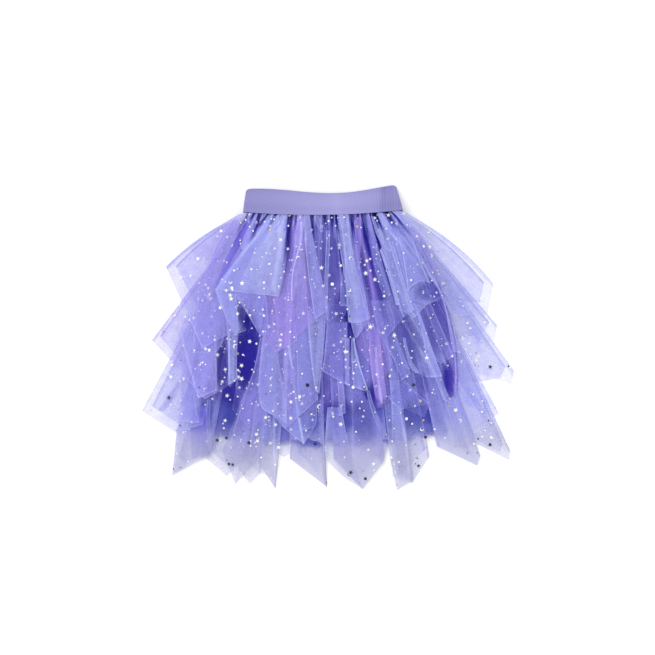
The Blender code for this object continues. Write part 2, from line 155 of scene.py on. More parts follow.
TIER_1_FRONT = points((
    (0, 4, -204, -68, -155, -174, -98, -142, .6, .5, 1.15, 6, 4, 7, 0),
    (4, 9, -139, -99, -112, -155, -79, -145, .8, .0, 1.3, 8, 3),
    (9, 15, -139, -98, -56, -107, -56, -107, .9, .0, 1.5, 7, 4, 0, 3),
    (15, 22, -113, -107, -61, -180, 6, -125, .5, .9, 1.1, 4, 6, 8, -3),
    (22, 31, -14, -135, 6, -142, 30, -122, .3, .5, 1.0, 5, 4),
    (31, 37, 38, -144, 43, -161, 60, -135, .7, .2, 1.3, 4, 4),
    (37, 44, 56, -161, 77, -168, 104, -133, .3, .4, 1.1, 6, 5, 0, 2),
    (44, 48, 100, -123, 117, -135, 142, -109, .7, .1, 1.2, 4, 4, 0, 2),
    (48, 50, 104, -96, 124, -90, 138, -93, .6, .2, 1.1, 3, 3, 0, 6),
    (50, 52, 113, -111, 135, -118, 156, -107, .6, .1, 1.1, 3, 4, 0, 2),
    (52, 54, 168, -132, 213, -128, 221, -90, .7, .1, 1.1, 3, 7, 0, 10),
))
TIER_1_BACK = points((
    (0, 9, -191, -67, -160, -127, -121, -98, 6, 0),
    (9, 18, -124, -93, -90, -137, -53, -98),
    (18, 27, -56, -93, -25, -142, 6, -96),
    (27, 36, 4, -93, 35, -142, 69, -96),
    (36, 45, 66, -90, 103, -137, 136, -98),
    (45, 54, 152, -111, 204, -114, 209, -88, 0, 7),
), EVEN)
TIER_2_BACK = points((
    (0, 8, -212, -158, -165, -213, -131, -176),
    (8, 17, -131, -171, -95, -215, -61, -176),
    (17, 26, -61, -171, -25, -218, 6, -174),
    (26, 35, 4, -171, 35, -220, 66, -176),
    (35, 45, 66, -171, 103, -213, 136, -174),
    (45, 54, 152, -168, 209, -153, 216, -140),
), EVEN)
TIER_3_BACK = points((
    (0, 7, -222, -249, -188, -272, -160, -252),
    (7, 15, -165, -244, -131, -283, -95, -254),
    (15, 23, -95, -246, -61, -288, -30, -252),
    (23, 32, -30, -249, 4, -285, 35, -252),
    (32, 40, 35, -246, 66, -283, 98, -249),
    (40, 48, 95, -241, 126, -272, 160, -239),
    (48, 54, 181, -220, 230, -213, 237, -197),
), EVEN)
TIER_4_BACK = points((
    (0, 8, -187, -314, -180, -324, -140, -305),
    (8, 15, -148, -304, -121, -330, -87, -314),
    (15, 21, -77, -301, -51, -315, -30, -302),
    (21, 28, -32, -309, -6, -337, -1, -309),
    (28, 38, 20, -309, 46, -343, 72, -313),
    (38, 46, 90, -309, 98, -340, 133, -305),
    (46, 51, 135, -285, 176, -304, 196, -301),
    (51, 54, 196, -291, 230, -309, 234, -298),
), EVEN)
Tier = namedtuple("Tier", "name level points layer")
TIERS = named(Tier, (
    ("tulle_tier_1_back", "1", TIER_1_BACK, 0),
    ("tulle_tier_2_back", "2", TIER_2_BACK, 1),
    ("tulle_tier_3_back", "3", TIER_3_BACK, 2),
    ("tulle_tier_4_back", "4", TIER_4_BACK, 3),
    ("tulle_tier_4_front", "4", TIER_4_FRONT, 8),
    ("tulle_tier_3_front", "3", TIER_3_FRONT, 9),
    ("tulle_tier_2_front", "2", TIER_2_FRONT, 10),
    ("tulle_tier_1_front", "1", TIER_1_FRONT, 11),
))
print(sum(len(tier.points) for tier in TIERS), "points in", len(TIERS), "half tiers")

# %% [markdown]
# ## Where each layer lies
# The layers rest on each other, and the CAD sheets already know how high each one lies. A flat net of
# measuring spots is dropped straight down on a CAD sheet with a Shrinkwrap modifier. The heights are
# kept as a map. Spots that miss the sheet take the height of their neighbours, and a light averaging
# takes the facets out.

# %% Height maps
CELL = 2.0
MAP_X = np.arange(-256, 257, CELL)
MAP_Y = np.arange(-210, 211, CELL)
DROP_FROM = 0.2


def add_object(name, data):
    """A new object, linked to the scene's own collection."""
    made = bpy.data.objects.new(name, data)
    bpy.context.scene.collection.objects.link(made)
    return made


def cross_sum(values):
    """Sum of each spot and its four neighbours."""
    wide = np.pad(values, 1)
    return wide[1:-1, 1:-1] + wide[:-2, 1:-1] + wide[2:, 1:-1] + (wide[1:-1, :-2] + wide[1:-1, 2:])


def average(values, weight):
    """Mean of each spot and its four neighbours, each counted by its weight."""
    total, count = cross_sum(values * weight), cross_sum(weight)
    return np.where(count > 0, total / np.maximum(count, 1), 0.0), (count > 0).astype(float)


def height_map(node, spread=14, soft=3):
    """Height of a node's upper face in millimetres on the map's spots."""
    x, y = np.meshgrid(MAP_X, MAP_Y, indexing="ij")
    spots = np.column_stack([x.ravel() * MM, y.ravel() * MM, np.full(x.size, DROP_FROM)])
    mesh = bpy.data.meshes.new("spots")
    mesh.vertices.add(len(spots))
    mesh.vertices.foreach_set("co", spots.ravel())
    net = add_object("spots", mesh)
    wrap = net.modifiers.new("drop", "SHRINKWRAP")
    wrap.wrap_method = "PROJECT"
    wrap.use_project_z = True
    wrap.use_positive_direction = False
    wrap.use_negative_direction = True
    wrap.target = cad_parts[node]
    bpy.context.view_layer.update()
    dropped = net.evaluated_get(bpy.context.evaluated_depsgraph_get()).data
    places = np.empty(len(spots) * 3)
    dropped.vertices.foreach_get("co", places)
    height = places.reshape(-1, 3)[:, 2].reshape(x.shape)
    bpy.data.objects.remove(net)
    bpy.data.meshes.remove(mesh)
    hit = (height < DROP_FROM - MM).astype(float)
    height = height / MM * hit
    for _ in range(spread):
        grown, reached = average(height, hit)
        height = np.where(hit > 0, height, grown)
        hit = np.maximum(hit, reached)
    for _ in range(soft):
        height = average(height, hit)[0]
    return height


def look_up(height, x, y):
    """Height of a map at any place, in line between its four nearest spots."""
    column = np.clip((x - MAP_X[0]) / CELL, 0, len(MAP_X) - 1.001)
    row = np.clip((y - MAP_Y[0]) / CELL, 0, len(MAP_Y) - 1.001)
    low_column = column.astype(int)
    low_row = row.astype(int)
    part_x = column - low_column
    part_y = row - low_row
    near = height[low_column, low_row] * (1 - part_x) + height[low_column + 1, low_row] * part_x
    far = height[low_column, low_row + 1] * (1 - part_x) + height[low_column + 1, low_row + 1] * part_x
    return near * (1 - part_y) + far * part_y


LAYERS = [tier.name for tier in TIERS]
LAYERS += ["underskirt_back", "lining_back", "lining_front", "underskirt_front"]
HEIGHTS = {name: height_map(name) for name in LAYERS}
for name, height in HEIGHTS.items():
    print(name, "lies up to", round(float(height.max()), 1), "mm high")

# %% [markdown]
# ## One point of tulle as a surface
# A point is a surface of two parameters: s runs from its left edge to its right edge, and t from the
# waist seam down to the hem. Its side edges are led straight from the waist to the hem corners, and
# its cloth is blended between them. Along each side a strip is turned under, so s runs out past the
# edge and comes back beneath it. That second layer makes the light bands along the folds.
# The light bands also get a painted highlight: the colour is painted paler along each folded edge.

# %% Surface of a point
FOLD_COLUMNS = 4


def side(point, right, t):
    """Side edge: root plus t times the way to the corner, bowed outwards by 4 t (1 - t)."""
    number = point.last if right else point.first
    root = np.array([column_x(number), seam_y(column_x(number)) + TUCK])
    corner = np.array([point.right_x, point.right_y] if right else [point.left_x, point.left_y])
    along = corner - root
    outward = np.array([-along[1], along[0]]) / np.hypot(*along)
    bow = point.bow_right if right else -point.bow_left
    return root + along * t[..., None] + outward * (bow * 4 * t * (1 - t))[..., None]


def turn_share(point):
    """Share of the hem that lies between the left corner and the tip."""
    first = math.hypot(point.tip_x - point.left_x, point.tip_y - point.left_y)
    second = math.hypot(point.right_x - point.tip_x, point.right_y - point.tip_y)
    return first / (first + second)


def place(point, s, t):
    """Blend of the two sides, drawn up to the seam by (1 - t) to the 6 and to the hem by t cubed."""
    left, right = side(point, False, t), side(point, True, t)
    body = left + (right - left) * s[..., None]
    top_x = column_x(point.first) + (column_x(point.last) - column_x(point.first)) * s
    chord = seam_y(column_x(point.first)) * (1 - s) + seam_y(column_x(point.last)) * s
    body[..., 1] += (seam_y(top_x) - chord) * (1 - t) ** 6
    turn = turn_share(point)
    stops = [0.0, turn, 1.0] if turn < 1 else [0.0, 1.0]
    hem_x = np.interp(s, stops, [point.left_x, point.tip_x, point.right_x][:len(stops)])
    hem_y = np.interp(s, stops, [point.left_y, point.tip_y, point.right_y][:len(stops)])
    low_x = point.left_x + (point.right_x - point.left_x) * s
    low_y = point.left_y + (point.right_y - point.left_y) * s
    body[..., 0] += (hem_x - low_x) * t ** 3
    body[..., 1] += (hem_y - low_y) * t ** 3
    return body


def shares(point, columns, rows):
    """Columns that crowd at both edges and at the tip, and rows that crowd at waist and hem."""
    turn = turn_share(point)
    first = max(3, round(columns * turn))
    s = turn * (1 - np.cos(np.linspace(0, math.pi / 2, first + 1)))
    if turn < 1:
        second = max(3, columns - first)
        rest = turn + (1 - turn) * np.sin(np.linspace(0, math.pi / 2, second + 1))[1:]
        s = np.concatenate([s, rest])
    t = np.sin(np.linspace(0, math.pi / 2, rows + 1))
    near = np.linspace(0, t[rows // 3], rows // 3 + 1)
    return s, np.concatenate([near, t[rows // 3 + 1:]])


# %% [markdown]
# ## Creases
# Tulle keeps long straight creases that start in a gather and run out to the hem. A crease is a soft
# line of its own width. It lifts the cloth a little and, because more threads lie behind each other
# there, makes it denser. Along the crease the colour is also painted paler, as a painted highlight.
# Each point gets a few of them, uneven but the same every run, and the strongest ones of the photo
# are placed one by one as chains of three spots.

# %% Creases one by one
Crease = namedtuple("Crease", "top_x top_y bend_x bend_y low_x low_y width strength")
CREASES = {
    "tulle_tier_1_front": named(Crease, (
        (68, 0, 100, -125, 152, -211, 1.6, 1.0),
        (-120, -10, -138, -60, -150, -120, 1.5, 0.6),
        (-70, -14, -104, -52, -137, -98, 1.4, 0.9),
        (-79, -18, -112, -60, -134, -103, 1.2, 0.7),
        # The crease down x = -31 is painted pale as the satin lining's highlight seen through the tulle: a
        # painted reflection.
        (-31, -8, -29, -50, -40, -110, 3.2, 1.5),
        (-14, -6, -10, -60, 4, -122, 1.3, 0.9),
        (-58, -5, -55, -40, -63, -100, 2.2, 1.1),
        (22, -10, 30, -60, 50, -150, 1.6, 0.8),
        (30, -8, 42, -70, 66, -150, 1.2, 0.7),
        (48, -8, 82, -70, 118, -133, 1.4, 0.9),
        (76, -12, 118, -60, 160, -104, 1.4, 0.8),
    )),
    "tulle_tier_2_front": named(Crease, (
        (-60, -30, -96, -120, -112, -219, 1.5, 0.8),
        (-44, -30, -46, -140, -50, -270, 1.8, 0.9),
        (70, -60, 98, -130, 146, -210, 1.8, 1.2),
        (80, -60, 112, -130, 153, -200, 1.4, 0.8),
        (30, -60, 52, -160, 76, -214, 1.6, 0.7),
    )),
    "tulle_tier_3_front": named(Crease, (
        (-40, -200, -34, -250, -25, -297, 1.5, 1.4),
        (-90, -60, -136, -120, -137, -240, 1.8, 1.0),
        (62, -150, 70, -200, 74, -246, 1.5, 1.0),
    )),
    "tulle_tier_4_front": named(Crease, (
        (99, -249, 108, -300, 114, -347, 1.6, 1.2),
        (-72, -200, -104, -300, -112, -345, 1.5, 0.8),
        (-63, -250, -64, -300, -62, -353, 1.6, 0.9),
        (2, -260, 3, -310, 5, -350, 1.6, 0.9),
        (150, -180, 196, -250, 236, -306, 1.6, 0.8),
    )),
}


# %% [markdown]
# ## Gaps and windows
# Between the gathers the tulle parts and the dark lining shows. These gaps start at the seam, lean a
# little, and die away downwards. Further down there are windows, where the points of the lower
# tiers hang apart. Both are read off the photo: in them the cloth is thin, low and dark.
# In the gaps the tulle's colour is also painted darker, as painted shade between the gathers.

# %% Gaps and windows
GAP_OPENS = 70
Gap = namedtuple("Gap", "x width length lean")
GAPS = named(Gap, (
    (-97, 1.6, 26, -0.35), (-88, 1.5, 44, -0.56), (-99, 3.4, 60, -0.25), (-81, 2.6, 34, -0.30),
    (-70, 1.8, 24, -0.75), (-61, 2.2, 20, -0.45), (-42, 3.6, 70, -0.06), (-35, 1.6, 18, 0.00),
    (-15, 2.2, 34, 0.06), (2, 2.0, 18, 0.10), (12, 2.4, 18, 0.05), (17, 2.0, 22, 0.05),
    (37, 2.2, 30, 0.10), (44, 1.8, 18, 0.10), (50, 2.6, 34, 0.28), (52, 2.8, 100, 0.12),
    (64, 2.4, 24, 0.30), (67, 2.0, 24, 0.40), (60, 1.4, 110, 0.29), (81, 3.8, 22, 0.50),
    (88, 1.8, 26, 0.70),
))
Window = namedtuple("Window", "x y half_x half_y lean keep tiers")
WINDOWS = named(Window, (
    (-97, -184, 23, 56, -0.05, 0.00, "234"),
    (-98, -138, 13, 27, 0.40, 0.00, "12"),
    (-130, -195, 10, 42, 0.00, 0.05, "234"),
    (-122, -246, 17, 42, 0.10, 0.12, "34"),
    (-104, -258, 16, 30, 0.00, 0.60, "4"),
    (12, -60, 13, 38, 0.02, 0.45, "1234"),
    (35.5, -138, 3.5, 26, 0.16, 0.00, "1234"),
    (-16, -62, 9, 22, 0.12, 0.55, "1234"),
    (58, -76, 9, 42, 0.20, 0.20, "1234"),
    (74, -108, 9, 30, 0.30, 0.30, "1234"),
    (27, -122, 15, 24, 0.00, 0.12, "1234"),
    (36, -150, 8, 40, 0.12, 0.25, "1234"),
    (88, -118, 13, 40, 0.30, 0.50, "234"),
    (108, -160, 15, 40, 0.30, 0.32, "234"),
    (137, -100, 20, 15, 0.00, 0.15, "1234"),
    (147, -145, 17, 42, 0.12, 0.55, "1234"),
    (-130, -278, 18, 26, 0.00, 0.35, "34"),
    (163, -214, 9, 28, 0.08, 0.00, "234"),
    (131, -219, 6, 16, 0.20, 0.30, "234"),
    (68, -240, 11, 28, 0.15, 0.00, "34"),
    (60, -234, 9, 14, 0.30, 0.00, "234"),
    (52, -268, 20, 36, 0.10, 0.22, "34"),
    (-16, -262, 14, 24, 0.00, 0.30, "34"),
    (120, -262, 20, 22, 0.20, 0.32, "34"),
    (22, -262, 24, 24, 0.00, 0.15, "34"),
    (-8, -230, 8, 26, 0.00, 0.20, "34"),
    (-60, -200, 8, 30, 0.00, 0.30, "34"),
    (-150, -250, 9, 40, 0.00, 0.20, "34"),
    (-124, -150, 10, 26, 0.00, 0.20, "34"),
))


def gap_share(x, depth):
    """How far the gathers part: each gap a soft line times e to the -(depth / length) squared."""
    total = np.zeros_like(x)
    for gap in GAPS:
        width = gap.width * (1 + depth / GAP_OPENS)
        line = np.exp(-((x - gap.x - gap.lean * depth) / width) ** 4)
        total = np.maximum(total, line * ridge(depth, gap.length))
    return smooth(1.25 * total)


def window_keep(x, y, level):
    """Share of the cloth that is left: each window a leaning oval, e to the -(away2 + along2)^3."""
    keep = np.ones_like(x)
    for window in WINDOWS:
        if level in window.tiers:
            along = (y - window.y) / window.half_y
            away = (x - window.x + window.lean * (y - window.y)) / window.half_x
            oval = np.exp(-(away ** 2 + along ** 2) ** 3)
            keep = np.minimum(keep, 1 - (1 - window.keep) * oval)
    return keep


def chain_distance(crease, x, y):
    """Least distance from each place to the chain's two straight pieces."""
    spots = ((crease.top_x, crease.top_y), (crease.bend_x, crease.bend_y), (crease.low_x, crease.low_y))
    nearest = np.full(x.shape, 1e3)
    for (ax, ay), (bx, by) in zip(spots[:-1], spots[1:]):
        length = (bx - ax) ** 2 + (by - ay) ** 2
        part = np.clip(((x - ax) * (bx - ax) + (y - ay) * (by - ay)) / length, 0, 1)
        away = np.hypot(x - ax - part * (bx - ax), y - ay - part * (by - ay))
        nearest = np.minimum(nearest, away)
    return nearest


def long_creases(rng, s, t, wide, count):
    """Sum of soft lines at chance places across, each strong over its own stretch of the length."""
    start = rng.uniform(0.02, 0.98, count)[:, None, None]
    drift = rng.normal(0, 0.06, count)[:, None, None]
    width = rng.uniform(0.8, 3.0, count)[:, None, None]
    strength = rng.uniform(0.25, 1.0, count)[:, None, None]
    middle = rng.uniform(0.1, 0.9, count)[:, None, None]
    reach = rng.uniform(0.15, 0.45, count)[:, None, None]
    away = (s[None] - start - drift * t[None]) * wide[None]
    return (strength * ridge(away, width) * ridge(t[None] - middle, reach)).sum(axis=0)


# %% [markdown]
# ## Pleats of the gathering
# Just under the band the gathers stand close together, with dark gaps between them. They open out
# within a hand's breadth. Their height dies away with the depth under the seam.
# On the tulle the ridges of the gathers are painted paler and the troughs darker, as painted light and shade.

# %% Gathers under the band
GATHERS_FADE = 26


def gathers(waist_x, depth):
    """Half a cosine a gather, its phase shaken a little, and how it fades: e to the -depth / 26."""
    shaken = waist_x + 0.9 * np.sin(waist_x / 6.3) + 0.6 * np.sin(waist_x / 2.7 + 1)
    wave = 0.5 - 0.5 * np.cos(2 * math.pi * (shaken + HALF_SEAM) / GATHER)
    return wave, np.exp(-np.clip(depth, 0, None) / GATHERS_FADE)


# %% [markdown]
# ## Meshes from grids
# A grid of places becomes a mesh with two triangles a cell. Its look is kept on it in a colour
# attribute: density, paleness, violet and grey. Its UV map is in metres of cut cloth, so that the weave
# follows the cloth and not the table.

# %% Grid to mesh
MOST_LOOK = (4, 1, 1, 1)


def grid_corners(rows, columns, upwards):
    """The four corners of each cell, turned so that the face looks up or down."""
    upper = (np.arange(rows - 1)[:, None] * columns + np.arange(columns - 1)[None]).ravel()
    lower = upper + columns
    order = [upper, lower, lower + 1, upper + 1] if upwards else [upper, upper + 1, lower + 1, lower]
    return np.column_stack(order)


def carry(name, mesh):
    """An object for a mesh, which rides on the skirt's one body."""
    piece = add_object(name, mesh)
    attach(piece, "root")
    return piece


def make_piece(name, parts):
    """One mesh of several grids. A part has places, look and uv, each a grid of rows."""
    places = np.concatenate([part["places"].reshape(-1, 3) for part in parts])
    places[:, :2] += ORIGIN
    look = np.concatenate([part["look"].reshape(-1, 4) for part in parts])
    uv = np.concatenate([part["uv"].reshape(-1, 2) for part in parts])
    faces = []
    start = 0
    for part in parts:
        rows, columns = part["places"].shape[:2]
        faces.append(grid_corners(rows, columns, part["upwards"]) + start)
        start += rows * columns
    faces = np.concatenate(faces)
    mesh = bpy.data.meshes.new(name)
    mesh.vertices.add(len(places))
    mesh.vertices.foreach_set("co", (places * MM).ravel())
    mesh.loops.add(faces.size)
    mesh.loops.foreach_set("vertex_index", faces.ravel())
    mesh.polygons.add(len(faces))
    mesh.polygons.foreach_set("loop_start", np.arange(0, faces.size, 4))
    mesh.polygons.foreach_set("use_smooth", np.ones(len(faces), bool))
    mesh.update(calc_edges=True)
    colour = mesh.color_attributes.new("look", "FLOAT_COLOR", "POINT")
    colour.data.foreach_set("color", look.ravel())
    layer = mesh.uv_layers.new(name="cut")
    layer.data.foreach_set("uv", uv[faces.ravel()].ravel())
    piece = carry(name, mesh)
    print(name, len(faces) * 2, "triangles")
    return piece


# %% [markdown]
# ## The four tiers
# Each point takes its height from the map of its own CAD sheet, half a wall below the upper face. The
# points that lie under their neighbours keep a little lower. Density follows the cut: the same width
# of cloth is squeezed together at the waist and spread out at the hem.

# %% Density of the tiers
WALL = 1.0
LOWEST = 0.05
CUT_SPARE = 1.15
MOST_DENSE = 2.6
GREY_ZONE = (265, 330)
HEM_ZONE = (270, 330)
HEM_EXTRA = 0.55
INNER_HALF = (165, 105)
INNER_DEPTH = (290, 220)
SIDE_ZONE = (100, 130)
# Edge light: extra density and a painted highlight along each tier's edges and hems.
EDGE_LIGHT = {"1": 0.8, "2": 0.7, "3": 0.5, "4": 0.4}
INNER_THIN = {"1": 0.40, "2": 0.40, "3": 0.40, "4": 0.25}
TIER_GREY = {"1": 0.0, "2": 0.0, "3": 0.7, "4": 1.0}
Show = namedtuple("Show", "start end least")
SHOWS_FROM = {
    "1": Show(0, 1, 1.0),
    "2": Show(30, 130, 0.35),
    "3": Show(90, 190, 0.20),
    "4": Show(150, 250, 0.15),
}


def side_share(x, y):
    """Share of the cloth left outside the inner skirts: 1 less 0.5 on the right, 0.25 on the left."""
    return 1 - 0.5 * zone(x + 0.34 * y, *SIDE_ZONE) - 0.25 * zone(-x + 0.35 * y, *SIDE_ZONE)


def hem_grey(level, depth):
    """How grey a tier is: its own share, near the hem only."""
    return TIER_GREY[level] * zone(depth, *GREY_ZONE)


def front_share(level, pale, x, y, depth, edge):
    """Share of a front tier's threads that show: fewer high up and inside, more at hem and edges."""
    show = SHOWS_FROM[level]
    share = show.least + (1 - show.least) * zone(depth, show.start, show.end)
    inner = zone(np.abs(x), *INNER_HALF) * zone(depth, *INNER_DEPTH) * (1 - pale ** 3)
    airy = side_share(x, y)
    hem = 1 + HEM_EXTRA * zone(depth, *HEM_ZONE)
    return share * (1 - INNER_THIN[level] * inner) * hem * (airy + (1 - airy) * np.minimum(edge, 1))


# %% Make the tiers
UNDER_NEIGHBOUR = 0.8
UNDER_TURN = 0.4
WIDEST_TURN = 0.3
CHANCE_CREASES = 3


def turned_shares(point, number, s_row, t, wide):
    """Shares across, with a strip turned under at each side, and a mark on the strips' columns."""
    back = np.linspace(1, 0, FOLD_COLUMNS, endpoint=False)
    sway = 0.75 + 0.25 * np.sin(5 * t + number)
    left = np.minimum(point.turn_left * (0.25 + 0.75 * t) * sway / wide, WIDEST_TURN)
    right = np.minimum(point.turn_right * (0.25 + 0.75 * t) * sway[::-1] / wide, WIDEST_TURN)
    middle = np.broadcast_to(s_row, (len(t), len(s_row)))
    s = np.concatenate([back * left, middle, 1 - back[::-1] * right], axis=1)
    under = np.ones(s.shape[1])
    under[FOLD_COLUMNS:-FOLD_COLUMNS] = 0
    return s, under


def tier_part(tier, number, point, columns, rows):
    """Places and look of one point. Height is map - wall / 2 - tuck + gathers + creases."""
    front = "front" in tier.name
    rng = np.random.default_rng(100 * tier.layer + number)
    s_row, t_row = shares(point, columns, rows)
    wide = np.hypot(*(side(point, True, t_row) - side(point, False, t_row)).T)[:, None]
    s, under = turned_shares(point, number, s_row, t_row[:, None], wide)
    t = np.broadcast_to(t_row[:, None], s.shape)
    flat = place(point, s, t)
    x, y = flat[..., 0], flat[..., 1]
    depth = seam_y(x) - y
    waist_x = column_x(point.first) + (column_x(point.last) - column_x(point.first)) * s
    wave, fade = gathers(waist_x, depth)
    crease = 0.6 * long_creases(rng, s, t, wide, CHANCE_CREASES)
    for line in CREASES.get(tier.name, ()):
        crease = np.maximum(crease, line.strength * ridge(chain_distance(line, x, y), line.width))
    gap = gap_share(x, np.clip(depth, 0, None)) if front else np.zeros_like(x)
    lift = 1.4 * wave * fade * (1 - 0.8 * gap) + 0.45 * np.minimum(crease, 1.2)
    tuck = UNDER_NEIGHBOUR * (number % 2) * zone(depth, 0, 40) + UNDER_TURN * under
    z = look_up(HEIGHTS[tier.name], x + ORIGIN[0], y + ORIGIN[1]) - WALL / 2 - tuck
    z = z + (lift if front else 0.3 * lift)
    hem_gap = (1 - t) * np.hypot(point.tip_x - waist_x, point.tip_y)
    edge_gap = np.minimum(s, 1 - s) * wide
    edge = EDGE_LIGHT[tier.level] * (ridge(edge_gap, 0.9) + 1.1 * ridge(hem_gap, 1.0))
    squeeze = np.minimum(CUT_SPARE * wide.max() / wide, MOST_DENSE)
    dense = point.dense * (squeeze + 0.9 * crease + edge + 0.05 * np.sin(waist_x * 2.3 + number))
    dense = dense * (1 - 0.45 * (1 - wave) * fade) * (1 - gap)
    if front:
        dense = dense * front_share(tier.level, point.pale, x, y, depth, edge)
        dense = dense * window_keep(x, y, tier.level)
        grey = hem_grey(tier.level, depth)
    else:
        dense = 0.65 * dense
        grey = np.full_like(x, 0.6)
    # Paleness: the point's own tone, plus painted highlights along creases, edges and hems and on the gather
    # ridges, and painted shade in the gather troughs and in the gaps between gathers.
    pale = point.pale + 0.45 * crease + 0.35 * edge + 0.35 * (wave - 0.6) * fade - 0.7 * gap
    violet = point.violet * (0.7 + 0.5 * t)
    places = np.dstack([x, y, np.maximum(z, LOWEST)])
    return {
        "places": places,
        "look": np.clip(np.dstack([dense, pale, violet, grey]), 0, MOST_LOOK),
        "uv": np.dstack([s * wide.max() * CUT_SPARE * MM, -depth * MM]),
        "upwards": front,
        "main": places[:, FOLD_COLUMNS:-FOLD_COLUMNS],
    }
